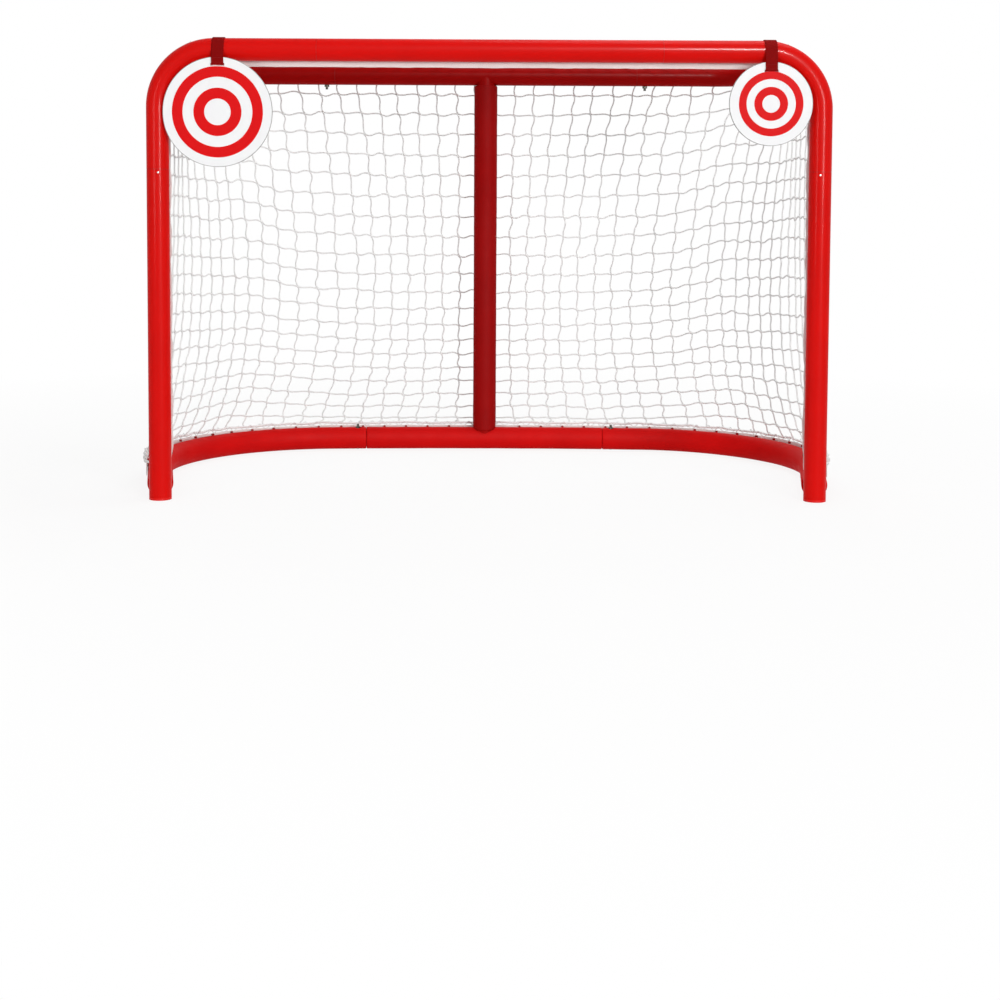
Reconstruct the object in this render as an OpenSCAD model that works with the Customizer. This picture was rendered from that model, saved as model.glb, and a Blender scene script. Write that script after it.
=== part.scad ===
/* [Front frame] */
// Overall width across the two front posts
goal_w = 1830; // [1780:5:1900]
// Overall height from the floor to the top of the crossbar
goal_h = 1236; // [1200:2:1260]
// Outside diameter of every frame tube
tube_d = 60.3; // [58:0.1:62]
// Wall thickness of every frame tube
tube_wall = 1.6; // [1.4:0.1:2.4]
// Centreline radius of the two top corner bends
bend_r = 152.4; // [146:0.2:158]
// Distance of each crossbar seam from the middle
crossbar_seam_x = 460; // [430:5:490]
// Height of the seam in each front post
post_seam_z = 888; // [850:2:920]

/* [Rear frame] */
// Depth from the front post axes to the rear rail axes
rear_depth = 900; // [860:5:930]
// Distance of each top rail seam from the middle
top_seam_x = 483; // [460:1:500]
// Corner radius of the top rail
top_corner_r = 150; // [140:2:165]
// Distance of each base rail seam from the middle
base_seam_x = 383; // [360:1:400]
// Corner radius of the base rail
base_corner_r = 500; // [490:2:506]
// Radius of the shallow curve across the back of the base rail
base_back_r = 7000; // [6000:100:8000]
// Outside diameter of the foam pad on the base rail
base_pad_d = 71; // [70:0.5:72]
// Outside diameter of the foam pad on the centre post
post_pad_d = 75; // [73:0.5:76]

/* [Net] */
// Width and thickness of a net cord
cord_w = 4; // [3.6:0.1:4.4]
// Gaps along each half of the net wall, a multiple of three
wall_cols = 12; // [12:3:12]
// Gaps up the net wall between the base and the top rail
wall_rows = 8; // [6:1:8]
// Gaps across the net roof
roof_cols = 12; // [10:2:12]
// Gaps from front to back of the net roof
roof_rows = 5; // [4:1:5]
// How far the net bellies out behind the base rail
belly = 85; // [60:5:90]

/* [Targets] */
// Radius of the large target
large_target_r = 145; // [138:1:147]
// Radius of the small target
small_target_r = 111; // [106:1:113]
// Thickness of a target plate
target_t = 5; // [4:0.5:6]
// Width of the webbing strap
strap_w = 32.5; // [30:0.5:34]
// Thickness of the webbing strap
strap_t = 2; // [1.8:0.1:2]

/* [Hidden] */

round_fn = 96;
bend_fn = 192;
sweep_fn = 1440;
seam_gap = 0.6;
cope_gap = 0.3;
fit_gap = 0.15;
foot_cap_h = 6;
foot_plug_h = 30;

// A bent stretch is a hair thicker than the straight ones, whose ends lap a little way into it
lap = 1;
lap_t = 0.25;

// Tubes
tube_r = tube_d / 2;
bore_r = tube_r - tube_wall;
sleeve_r = bore_r - fit_gap;
sleeve_wall = 2;
sleeve_half = 75;
post_x = goal_w / 2 - tube_r;
bar_z = goal_h - tube_r;
bend_x = post_x - bend_r;
bend_z = bar_z - bend_r;

// Rear frame: a run is [front point, corner centre, corner radius,
// angle of the side's outward normal, same angle where the back begins, back radius or 0]
base_z = base_pad_d / 2 + lap_t;
base_corner_x = post_x - 436;
base_back_y = rear_depth - base_back_r;
base_reach = base_back_r - base_corner_r;
base_corner = [base_corner_x, base_back_y + sqrt(pow(base_reach, 2) - pow(base_corner_x, 2))];
base_front = [post_x, 0];
base_run = [base_front, base_corner, base_corner_r,
    tangent_angle(base_front, base_corner, base_corner_r),
    acos(base_corner_x / base_reach), base_back_r];
top_front = [post_x - 90, 0];
top_corner = [post_x - 165, rear_depth - top_corner_r];
top_run = [top_front, top_corner, top_corner_r,
    tangent_angle(top_front, top_corner, top_corner_r), 90, 0];
top_front_z = bend_z + sqrt(pow(bend_r, 2) - pow(top_front.x - bend_x, 2));
top_tilt = asin((bar_z - top_front_z) / rear_depth);
socket_start = 4;
top_socket_len = 80;
base_socket_len = 86;
sleeve_in = 30;
sleeve_out = 60;

// Fasteners
bolt_d = 8;
bolt_hole_d = 9;
bolt_head_d = 14;
bolt_head_h = 4.4;
nut_across = 13;
nut_h = 6.5;
nut_bore_d = 8.4;
weld_gap = 1.4;
bolt_from_seam = 28;
bolt_tail = 15;
bolt_in = 0.5;
front_bolt_len = 20;
base_bolt_y = run_point(base_run, run_len(base_run) - base_seam_x - bolt_from_seam, 0).y;
pad_hole_d = 18;

// Pads and hems
pad_bore_r = tube_r + fit_gap + lap_t;
post_pad_back = 33;
base_pad_start = 40;
pad_notch_gap = 3;
hem_t = 2.5;
hem_w = 38;
bar_hem_w = 40;
hem_start = 180;
hem_seat = 0.6;
hem_lap_t = 0.02;
hem_low = -1.5;
crossbar_hem_z = bar_z - 43;
crossbar_hem_x = [-bend_x + 32, bend_x - 9];
post_hem_w = 24;
post_hem_edge = 28;
post_hem_z = [80, bend_z];
peg_r = 3.5;
peg_h = 6;
post_peg_in = 24;
base_peg_pitch = 70;
bar_peg_pitch = 127;

// Net
cord_half = cord_w / 2;
net_side_y = tube_r + hem_seat + hem_t + cord_half + fit_gap;
net_base_out = base_pad_d / 2 + hem_seat + hem_t + cord_half + fit_gap;
net_base_z = base_z + 42;
net_wrap_r = tube_r + 12;
wrap_turn = 35;
net_front_out = -16;
net_front_turn = 12;
net_corner_turn = 6;
net_sag = 60;
net_drift = 0.033;
panel_ends = [0, 0.4, 0.6, 1];
roof_front_y = tube_r + 6.5;
roof_front_z = bar_z - 16;
roof_inset = 6;
wall_block = wall_cols / 3;

// Targets: [x, z, radius, slot height above centre, ring radii from outside in, pivot drop].
// The small one hangs where the bend begins, so its strap is wider and turns a little lower
plate_back_y = -tube_r - 0.85;
plate_front_y = plate_back_y - target_t;
ring_t = 0.4;
strap_gap = 0.6;
slot_h = 7;
slot_w = strap_w + 5;
large_target = [-(post_x - 165), 1039 + goal_h - 1236, large_target_r, large_target_r - 20,
    large_target_r * [0.828, 0.636, 0.438, 0.242], 0];
small_target = [post_x - 141, 1067 + goal_h - 1236, small_target_r, small_target_r - 24.5,
    small_target_r * [0.770, 0.588, 0.403, 0.211], 1.5];
strap_shoulder = [plate_front_y - strap_gap, -20.4];

// The goal's front is at the target straps and its back is the deepest point of the net
front_reach = strap_shoulder.x - strap_t;
back_reach = max([for (row = [0:wall_rows]) net_wall_point(1, row).y]) + cord_half;
centre_y = (front_reach + back_reach) / 2;

// Angle at a circle's centre of the point where a line from p touches it
function tangent_angle(p, c, r) = atan2(p.y - c.y, p.x - c.x) + acos(r / norm(p - c));

function corner_point(run, a) = run[1] + run[2] * [cos(a), sin(a)];
function side_len(run) = norm(corner_point(run, run[3]) - run[0]);
function corner_len(run) = run[2] * (run[4] - run[3]) * PI / 180;
function back_len(run) = run[5] == 0 ? run[1].x : run[5] * (90 - run[4]) * PI / 180;
function run_len(run) = side_len(run) + corner_len(run) + back_len(run);

// Angle of the outward normal at distance s along a run from its front
function run_angle(run, s) =
    let (past_side = s - side_len(run), past_corner = past_side - corner_len(run))
    past_side <= 0 ? run[3]
    : past_corner <= 0 ? run[3] + past_side / run[2] * 180 / PI
    : run[5] == 0 ? 90
    : run[4] + past_corner / run[5] * 180 / PI;

// Point at distance s along a run, moved outwards by out
function run_point(run, s, out) =
    let (
        a = run_angle(run, s),
        past_side = s - side_len(run),
        past_corner = past_side - corner_len(run),
        mid = past_side <= 0 ? run[0] + s * [-sin(a), cos(a)]
            : past_corner <= 0 ? corner_point(run, a)
            : run[5] == 0 ? [run[1].x - past_corner, rear_depth]
            : [0, rear_depth - run[5]] + run[5] * [cos(a), sin(a)]
    )
    mid + out * [cos(a), sin(a)];

function mix(a, b, t) = a + (b - a) * t;
function clamp(t, low, high) = min(max(t, low), high);
function top_z(y) = top_front_z + y * tan(top_tilt);

// Plan of the net wall at height share h, as a run: it follows the post and its bend in front,
// and its corner opens quickly from the top rail's to the base rail's
function wall_run(h) =
    let (
        z = mix(net_base_z, top_front_z, h),
        front_x = z < bend_z ? post_x : bend_x + sqrt(pow(bend_r, 2) - pow(z - bend_z, 2)),
        r = mix(base_corner_r, top_corner_r, pow(h, net_corner_turn)),
        back_r = base_back_r / (1 - h + 0.00001),
        x = mix(base_corner_x + base_corner_r, top_corner.x + top_corner_r, h) - r,
        y = rear_depth - back_r + sqrt(pow(back_r - r, 2) - pow(x, 2)),
        side = tangent_angle([front_x, 0], [x, y], r)
    )
    [[front_x, 0], [x, y], r, side, acos(x / (back_r - r)), back_r];

// Net wall: u runs from the post to the middle of the back, h from the base to the top rail.
// It bellies out most low down behind, its cords drift towards the middle at half height,
// and its front edge draws in behind the post
function wall_point(u, h) =
    let (
        run = wall_run(h),
        drift = net_drift * sin(180 * pow(h, 0.6)) * sin(180 * u),
        front_out = mix(net_front_out, net_wrap_r, pow(h, net_front_turn)),
        side_out = mix(front_out, mix(net_base_out, net_wrap_r, h), min(1, u * net_front_turn)),
        push = belly * pow(sin(90 * clamp(1.9 * (u - 0.15), 0, 1)), 2) * sin(180 * pow(h, 0.42)),
        at = run_point(run, mix(net_side_y, run_len(run), u + drift), side_out + push)
    )
    [each at, mix(net_base_z, top_z(at.y), h)];

// The rows sag towards the middle of the back
function sagged(u, h) =
    h - net_sag / bar_z * pow(sin(180 * h), 1.5) * pow(sin(90 * min(1, 1.2 * u)), 2);

// The last two rows turn over the top rail
function wrap_point(u, turn) =
    let (
        s_top = mix(net_side_y, run_len(top_run), u),
        at = run_point(top_run, s_top, net_wrap_r * cos(turn))
    )
    [each at, top_z(at.y) + net_wrap_r * sin(turn)];

function net_wall_point(u, row) =
    row <= wall_rows ? wall_point(u, sagged(u, row / wall_rows))
    : wrap_point(u, wrap_turn * (row - wall_rows));

// Half width of the roof at depth y: it follows the top rail, a little inside its axis
function roof_half(y) =
    let (touch = corner_point(top_run, top_run[3]))
    (y < touch.y ? mix(top_front.x, touch.x, y / touch.y)
    : top_corner.x + sqrt(pow(top_corner_r, 2) - pow(y - top_corner.y, 2))) - roof_inset;

// Net roof: u from -1 to 1 across, v from 0 at the crossbar to 1 at the top rail
function roof_point(u, v) =
    let (
        y = mix(roof_front_y, rear_depth - roof_inset, v),
        high = top_z(y) + net_wrap_r,
        drop = (high - roof_front_z) * pow(1 - v, 2) * (1 - pow(u, 4))
    )
    [u * roof_half(y), y, high - drop];

// Shapes in the goal's own frame: y is 0 at the front post axes before this move
module placed() {
    translate([0, -centre_y, 0]) children();
}

module both_sides() {
    children();
    mirror([1, 0, 0]) children();
}

// The left is at -x; pieces are drawn on the +x side
module left_side() {
    mirror([1, 0, 0]) children();
}

module ring(r_out, r_in) {
    difference() {
        circle(r_out, $fn = round_fn);
        circle(r_in, $fn = round_fn);
    }
}

module tube_section() {
    ring(tube_r, bore_r);
}

module sleeve_section() {
    ring(sleeve_r, sleeve_r - sleeve_wall);
}

module disc_section(r) {
    circle(r, $fn = round_fn);
}

// Sweeps of a section whose x points outwards and y upwards
module side_sweep(run, s0, s1) {
    at = run[0] + s1 * [-sin(run[3]), cos(run[3])];
    translate([at.x, at.y, 0]) rotate([90, 0, run[3]]) linear_extrude(s1 - s0) children();
}

module corner_sweep(run) {
    translate([run[1].x, run[1].y, 0]) rotate([0, 0, run[3]])
        rotate_extrude(angle = run[4] - run[3], $fn = bend_fn)
            translate([run[2], 0]) children();
}

module back_sweep(run, x0, x1) {
    if (run[5] == 0) {
        translate([x0, rear_depth, 0]) rotate([90, 0, 90]) linear_extrude(x1 - x0) children();
    } else {
        translate([0, base_back_y, 0]) rotate([0, 0, acos(x1 / run[5])])
            rotate_extrude(angle = acos(x0 / run[5]) - acos(x1 / run[5]), $fn = sweep_fn)
                translate([run[5], 0]) children();
    }
}

// From distance s0 on the side, round the corner and along the back to x.
// The first child is the section, the second the same a hair thicker for the bend
module long_sweep(run, s0, x) {
    corner_end = run_point(run, side_len(run) + corner_len(run), 0);
    side_sweep(run, s0, side_len(run) + lap) children(0);
    corner_sweep(run) children(1);
    back_sweep(run, x, corner_end.x + lap) children(0);
}

// A long sweep of a pipe
module pipe_sweep(run, s0, x, r_out, r_in) {
    long_sweep(run, s0, x) {
        ring(r_out, r_in);
        ring(r_out + lap_t, r_in + lap_t);
    }
}

// The plane of the top run, which rises a little towards the back
module top_plane() {
    translate([0, 0, top_front_z]) rotate([top_tilt, 0, 0]) children();
}

module base_plane() {
    translate([0, 0, base_z]) children();
}

module corner_bend() {
    translate([bend_x, 0, bend_z]) rotate([90, 0, 0])
        rotate_extrude(angle = 90, $fn = bend_fn) translate([bend_r, 0]) children();
}

module tube_along_x(x0, x1) {
    translate([x0, 0, 0]) rotate([0, 90, 0]) linear_extrude(x1 - x0) tube_section();
}

// Where each front bolt enters: behind and above the crossbar, behind and outside the posts
module at_crossbar_bolt() {
    translate([crossbar_seam_x + bolt_from_seam, 0, bar_z]) rotate([-45, 0, 0]) children();
}

module at_post_bolt() {
    translate([post_x, 0, post_seam_z - bolt_from_seam]) rotate([-90, 0, 45 - 90]) children();
}

module front_bolt_hole() {
    cylinder(h = tube_d, d = bolt_hole_d, $fn = round_fn);
}

module front_bolt() {
    translate([0, 0, tube_r + fit_gap]) cylinder(h = bolt_head_h, d = bolt_head_d, $fn = 6);
    translate([0, 0, tube_r - front_bolt_len])
        cylinder(h = front_bolt_len + bolt_in, d = bolt_d, $fn = round_fn);
}

module front_weld_nut() {
    translate([0, 0, sleeve_r - sleeve_wall - weld_gap - nut_h]) difference() {
        cylinder(h = nut_h, d = nut_across / cos(30), $fn = 6);
        translate([0, 0, -1]) cylinder(h = nut_h + 2, d = nut_bore_d, $fn = round_fn);
    }
}

module crossbar_tube() {
    color("crimson") placed() translate([0, 0, bar_z])
        tube_along_x(-crossbar_seam_x + seam_gap / 2, crossbar_seam_x - seam_gap / 2);
}

module corner_tube() {
    color("crimson") placed() difference() {
        union() {
            translate([0, 0, bar_z]) tube_along_x(crossbar_seam_x + seam_gap / 2, bend_x);
            corner_bend() tube_section();
            translate([post_x, 0, post_seam_z + seam_gap / 2])
                linear_extrude(bend_z - post_seam_z - seam_gap / 2) tube_section();
        }
        at_crossbar_bolt() front_bolt_hole();
    }
}

module corner_tube_left() {
    left_side() corner_tube();
}

module corner_tube_right() {
    corner_tube();
}

module post_tube() {
    color("crimson") placed() difference() {
        translate([post_x, 0, foot_cap_h])
            linear_extrude(post_seam_z - seam_gap / 2 - foot_cap_h) tube_section();
        at_post_bolt() front_bolt_hole();
    }
}

module post_left() {
    left_side() post_tube();
}

module post_right() {
    post_tube();
}

module crossbar_sleeves() {
    color("silver") placed() both_sides() difference() {
        translate([crossbar_seam_x - sleeve_half, 0, bar_z]) rotate([0, 90, 0])
            linear_extrude(2 * sleeve_half) sleeve_section();
        at_crossbar_bolt() front_bolt_hole();
    }
}

module post_sleeves() {
    color("silver") placed() both_sides() difference() {
        translate([post_x, 0, post_seam_z - sleeve_half])
            linear_extrude(2 * sleeve_half) sleeve_section();
        at_post_bolt() front_bolt_hole();
    }
}

module front_bolts() {
    color("dimgray") placed() both_sides() {
        at_crossbar_bolt() front_bolt();
        at_post_bolt() front_bolt();
    }
}

module front_weld_nuts() {
    color("silver") placed() both_sides() {
        at_crossbar_bolt() front_weld_nut();
        at_post_bolt() front_weld_nut();
    }
}

module foot_cap() {
    color("firebrick") placed() translate([post_x, 0, 0]) {
        cylinder(h = foot_cap_h, r = tube_r, $fn = round_fn);
        cylinder(h = foot_plug_h, r = sleeve_r, $fn = round_fn);
    }
}

module foot_cap_left() {
    left_side() foot_cap();
}

module foot_cap_right() {
    foot_cap();
}

module top_socket() {
    color("crimson") placed() difference() {
        top_plane() side_sweep(top_run, socket_start, top_socket_len) tube_section();
        corner_bend() disc_section(tube_r + cope_gap);
    }
}

module top_socket_left() {
    left_side() top_socket();
}

module top_socket_right() {
    top_socket();
}

module base_socket() {
    color("crimson") placed() difference() {
        base_plane() side_sweep(base_run, socket_start, base_socket_len) tube_section();
        translate([post_x, 0, -1]) cylinder(h = 2 * base_pad_d, r = tube_r + cope_gap, $fn = round_fn);
    }
}

module base_socket_left() {
    left_side() base_socket();
}

module base_socket_right() {
    base_socket();
}

// Vertical bolt places on a run: on the back beyond the seam, and on the side past the socket
module at_back_bolt(seam_x) {
    translate([seam_x + bolt_from_seam, rear_depth, 0]) children();
}

module at_side_bolt(run, socket_len) {
    at = run_point(run, socket_len + bolt_from_seam, 0);
    translate([at.x, at.y, 0]) children();
}

module top_bolt_places() {
    top_plane() {
        at_back_bolt(top_seam_x) children();
        at_side_bolt(top_run, top_socket_len) children();
    }
}

module base_bolt_places() {
    base_plane() {
        translate([0, base_bolt_y - rear_depth, 0]) at_back_bolt(base_seam_x) children();
        at_side_bolt(base_run, base_socket_len) children();
    }
}

module through_hole(d) {
    translate([0, 0, -base_pad_d]) cylinder(h = 2 * base_pad_d, d = d, $fn = round_fn);
}

module top_rail_half() {
    color("darkred") placed() difference() {
        top_plane() pipe_sweep(top_run, top_socket_len + seam_gap, top_seam_x + seam_gap / 2,
            tube_r, bore_r);
        top_bolt_places() through_hole(bolt_hole_d);
    }
}

module top_rail_left() {
    left_side() top_rail_half();
}

module top_rail_right() {
    top_rail_half();
}

module top_rail_centre() {
    color("darkred") placed() top_plane()
        back_sweep(top_run, -top_seam_x + seam_gap / 2, top_seam_x - seam_gap / 2) tube_section();
}

module base_rail_half() {
    color("firebrick") placed() difference() {
        base_plane() pipe_sweep(base_run, base_socket_len + seam_gap, base_seam_x + seam_gap / 2,
            tube_r, bore_r);
        base_bolt_places() through_hole(bolt_hole_d);
    }
}

module base_rail_left() {
    left_side() base_rail_half();
}

module base_rail_right() {
    base_rail_half();
}

module base_rail_centre() {
    color("firebrick") placed() base_plane()
        back_sweep(base_run, -base_seam_x + seam_gap / 2, base_seam_x - seam_gap / 2) tube_section();
}

module centre_post() {
    color("firebrick") placed() difference() {
        translate([0, rear_depth, base_z]) linear_extrude(bar_z - base_z) tube_section();
        base_plane() back_sweep(base_run, -2 * tube_d, 2 * tube_d) disc_section(tube_r + cope_gap);
        top_plane() back_sweep(top_run, -2 * tube_d, 2 * tube_d) disc_section(tube_r + cope_gap);
    }
}

module top_rail_sleeves() {
    color("silver") placed() both_sides() difference() {
        top_plane() back_sweep(top_run, top_seam_x - sleeve_half, top_seam_x + sleeve_half)
            sleeve_section();
        top_bolt_places() through_hole(bolt_hole_d);
    }
}

module base_rail_sleeves() {
    color("silver") placed() both_sides() difference() {
        base_plane() back_sweep(base_run, base_seam_x - sleeve_half, base_seam_x + sleeve_half)
            sleeve_section();
        base_bolt_places() through_hole(bolt_hole_d);
    }
}

module top_socket_sleeves() {
    color("silver") placed() both_sides() difference() {
        top_plane() side_sweep(top_run, top_socket_len - sleeve_in, top_socket_len + sleeve_out)
            sleeve_section();
        top_bolt_places() through_hole(bolt_hole_d);
    }
}

module base_socket_sleeves() {
    color("silver") placed() both_sides() difference() {
        base_plane() side_sweep(base_run, base_socket_len - sleeve_in, base_socket_len + sleeve_out)
            sleeve_section();
        base_bolt_places() through_hole(bolt_hole_d);
    }
}

// A bolt through a rail: its head on the -z side of the rail and its threaded end past +z
module rail_bolt() {
    translate([0, 0, -tube_r - fit_gap - bolt_head_h])
        cylinder(h = bolt_head_h, d = bolt_head_d, $fn = round_fn);
    translate([0, 0, -tube_r - bolt_in]) cylinder(h = tube_d + bolt_tail, d = bolt_d, $fn = round_fn);
}

module rail_nut() {
    translate([0, 0, tube_r + fit_gap]) difference() {
        cylinder(h = nut_h, d = nut_across / cos(30), $fn = 6);
        translate([0, 0, -1]) cylinder(h = nut_h + 2, d = nut_bore_d, $fn = round_fn);
    }
}

module top_rail_bolts() {
    color("dimgray") placed() both_sides() top_bolt_places() mirror([0, 0, 1]) rail_bolt();
}

module top_rail_nuts() {
    color("dimgray") placed() both_sides() top_bolt_places() mirror([0, 0, 1]) rail_nut();
}

module base_rail_bolts() {
    color("dimgray") placed() both_sides() base_bolt_places() rail_bolt();
}

module base_rail_nuts() {
    color("dimgray") placed() both_sides() base_bolt_places() rail_nut();
}

module base_pad_half() {
    color("red") placed() difference() {
        base_plane() pipe_sweep(base_run, base_pad_start, base_seam_x + seam_gap / 2,
            base_pad_d / 2, pad_bore_r);
        base_bolt_places() through_hole(pad_hole_d);
    }
}

module base_pad_left() {
    left_side() base_pad_half();
}

module base_pad_right() {
    base_pad_half();
}

module base_pad_centre() {
    color("red") placed() difference() {
        base_plane() back_sweep(base_run, -base_seam_x + seam_gap / 2, base_seam_x - seam_gap / 2)
            ring(base_pad_d / 2, pad_bore_r);
        translate([0, rear_depth, base_z])
            cylinder(h = base_pad_d, r = tube_r + pad_notch_gap, $fn = round_fn);
    }
}

// Round pad with a flat back, where the net runs close behind it
module centre_post_pad() {
    color("red") placed() difference() {
        translate([0, rear_depth, base_z]) linear_extrude(bar_z - tube_r - base_z - 1)
            difference() {
                ring(post_pad_d / 2, pad_bore_r);
                translate([-post_pad_d, post_pad_back]) square([2 * post_pad_d, post_pad_d]);
            }
        base_plane() back_sweep(base_run, -2 * tube_d, 2 * tube_d)
            disc_section(base_pad_d / 2 + fit_gap);
        top_plane() back_sweep(top_run, -2 * tube_d, 2 * tube_d) disc_section(tube_r + fit_gap);
    }
}

module crossbar_hem() {
    color("white") placed()
        translate([crossbar_hem_x[0], tube_r + hem_seat, crossbar_hem_z])
            cube([crossbar_hem_x[1] - crossbar_hem_x[0], hem_t, bar_hem_w]);
}

module post_hem() {
    color("white") placed()
        translate([post_x - post_hem_edge, tube_r + hem_seat, post_hem_z[0]])
            cube([post_hem_w, hem_t, post_hem_z[1] - post_hem_z[0]]);
}

module post_hem_left() {
    left_side() post_hem();
}

module post_hem_right() {
    post_hem();
}

module hem_section(grow) {
    translate([base_pad_d / 2 + hem_seat - grow, hem_low - grow])
        square([hem_t + 2 * grow, hem_w + 2 * grow]);
}

module base_hem() {
    color("white") placed() base_plane() long_sweep(base_run, hem_start, 0.5) {
        hem_section(0);
        hem_section(hem_lap_t);
    }
}

module base_hem_left() {
    left_side() base_hem();
}

module base_hem_right() {
    base_hem();
}

// Round peg heads that hold the hems
module base_net_pegs() {
    last = run_len(base_run) - 1.5 * base_peg_pitch;
    color("darkred") placed() both_sides() base_plane()
        for (s = [hem_start + base_peg_pitch : base_peg_pitch : last]) {
            at = run_point(base_run, s, base_pad_d / 2 + hem_seat - 0.1);
            translate([at.x, at.y, hem_low + hem_w - peg_r - 0.5])
                rotate([0, -90, run_angle(base_run, s)])
                    cylinder(h = peg_h, r = peg_r, $fn = round_fn);
        }
}

module post_net_pegs() {
    color("darkred") placed() both_sides()
        for (z = [post_hem_z[0] + 40 : bar_peg_pitch : post_hem_z[1] - 20])
            translate([post_x - post_peg_in, tube_r + hem_seat + hem_t, z])
                rotate([-90, 0, 0]) cylinder(h = peg_h / 2, r = peg_r, $fn = round_fn);
}

module crossbar_net_pegs() {
    color("darkred") placed()
        for (x = [crossbar_hem_x[0] + 20 : bar_peg_pitch : crossbar_hem_x[1] - 10])
            translate([x, tube_r + hem_seat + hem_t, crossbar_hem_z + 10])
                rotate([-90, 0, 0]) cylinder(h = peg_h / 2, r = peg_r, $fn = round_fn);
}

// Lattice of square cords through a grid of points given by at(i, j), all faces triangles.
// Each crossing has eight corners: side a along i, side b along j, side c through the cord
module lattice(at, ni, nj) {
    function unit(v) = v / norm(v);
    function along_i(i, j) = unit(at(min(i + 1, ni), j) - at(max(i - 1, 0), j));
    function along_j(i, j) = unit(at(i, min(j + 1, nj)) - at(i, max(j - 1, 0)));
    function spot(i, j, a, b, c) =
        let (du = along_i(i, j), dv = along_j(i, j), dn = unit(cross(du, dv)))
        at(i, j) + cord_half * ((2 * a - 1) * du + (2 * b - 1) * dv + (2 * c - 1) * dn);
    function id(i, j, a, b, c) = (((i * (nj + 1) + j) * 2 + a) * 2 + b) * 2 + c;
    function quad(p, q, r, s) = [[p, r, q], [p, s, r]];
    // A cross face with its corners turning from i towards j, on side c
    function plate(p, q, r, s, c) = c == 1 ? quad(p, q, r, s) : quad(s, r, q, p);
    points = [for (i = [0:ni], j = [0:nj], a = [0, 1], b = [0, 1], c = [0, 1]) spot(i, j, a, b, c)];
    knots = [for (i = [0:ni], j = [0:nj], c = [0, 1])
        each plate(id(i, j, 0, 0, c), id(i, j, 1, 0, c), id(i, j, 1, 1, c), id(i, j, 0, 1, c), c)];
    bars_i = [for (i = [0:ni - 1], j = [0:nj], c = [0, 1])
        each plate(id(i, j, 1, 0, c), id(i + 1, j, 0, 0, c), id(i + 1, j, 0, 1, c), id(i, j, 1, 1, c), c)];
    bars_j = [for (i = [0:ni], j = [0:nj - 1], c = [0, 1])
        each plate(id(i, j, 0, 1, c), id(i, j, 1, 1, c), id(i, j + 1, 1, 0, c), id(i, j + 1, 0, 0, c), c)];
    // Walls of the cords: those of the bars, then the open ends at the rim
    walls_i = [for (i = [0:ni - 1], j = [0:nj]) each concat(
        quad(id(i, j, 1, 0, 0), id(i + 1, j, 0, 0, 0), id(i + 1, j, 0, 0, 1), id(i, j, 1, 0, 1)),
        quad(id(i, j, 1, 1, 1), id(i + 1, j, 0, 1, 1), id(i + 1, j, 0, 1, 0), id(i, j, 1, 1, 0)))];
    walls_j = [for (i = [0:ni], j = [0:nj - 1]) each concat(
        quad(id(i, j, 0, 1, 1), id(i, j + 1, 0, 0, 1), id(i, j + 1, 0, 0, 0), id(i, j, 0, 1, 0)),
        quad(id(i, j, 1, 1, 0), id(i, j + 1, 1, 0, 0), id(i, j + 1, 1, 0, 1), id(i, j, 1, 1, 1)))];
    rim_i = [for (j = [0:nj]) each concat(
        quad(id(0, j, 0, 0, 0), id(0, j, 0, 0, 1), id(0, j, 0, 1, 1), id(0, j, 0, 1, 0)),
        quad(id(ni, j, 1, 1, 0), id(ni, j, 1, 1, 1), id(ni, j, 1, 0, 1), id(ni, j, 1, 0, 0)))];
    rim_j = [for (i = [0:ni]) each concat(
        quad(id(i, 0, 0, 0, 1), id(i, 0, 0, 0, 0), id(i, 0, 1, 0, 0), id(i, 0, 1, 0, 1)),
        quad(id(i, nj, 1, 1, 1), id(i, nj, 1, 1, 0), id(i, nj, 0, 1, 0), id(i, nj, 0, 1, 1)))];
    polyhedron(points, concat(knots, bars_i, bars_j, walls_i, walls_j, rim_i, rim_j));
}

// The side, corner or back of one half of the wall; neighbours lie side by side along their seam
module wall_panel(block) {
    seam = (cord_half + seam_gap) / run_len(base_run);
    u0 = panel_ends[block] + seam;
    u1 = panel_ends[block + 1] - seam;
    color("gainsboro") placed()
        lattice(function (i, j) net_wall_point(mix(u0, u1, i / wall_block), j),
            wall_block, wall_rows + 2);
}

module net_side_left() {
    left_side() wall_panel(0);
}

module net_corner_left() {
    left_side() wall_panel(1);
}

module net_back_left() {
    left_side() wall_panel(2);
}

module net_side_right() {
    wall_panel(0);
}

module net_corner_right() {
    wall_panel(1);
}

module net_back_right() {
    wall_panel(2);
}

module net_roof() {
    color("gainsboro") placed()
        lattice(function (i, j) roof_point(2 * i / roof_cols - 1, j / roof_rows), roof_cols, roof_rows);
}

module disc_facing_front(target, y, t, r) {
    translate([target[0], y, target[1]]) rotate([90, 0, 0]) cylinder(h = t, r = r, $fn = 96);
}

module target_plate(target) {
    color("white") placed() difference() {
        disc_facing_front(target, plate_back_y, target_t, target[2]);
        translate([target[0] - slot_w / 2, plate_front_y - 1, target[1] + target[3] - slot_h / 2])
            cube([slot_w, target_t + 2, slot_h]);
    }
}

module target_rings(target) {
    color("red") placed()
        for (k = [0, 2]) difference() {
            disc_facing_front(target, plate_front_y, ring_t, target[4][k]);
            disc_facing_front(target, plate_front_y + 1, ring_t + 2, target[4][k + 1]);
        }
}

// Outline in the y-z plane of a band drawn round the crossbar and through the plate's slot:
// an arc of radius r that leaves towards the shoulder and the slot corner
function band(r, shoulder, low, grow) =
    let (
        from = atan2(low.y, low.x) + acos(r / norm(low)),
        to = atan2(shoulder.y, shoulder.x) - acos(r / norm(shoulder)) + 360,
        steps = 30,
        step = (to - from) / steps
    )
    concat([for (k = [0:steps]) r * grow * [cos(from + k * step), sin(from + k * step)]],
        [shoulder, low]);

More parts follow.
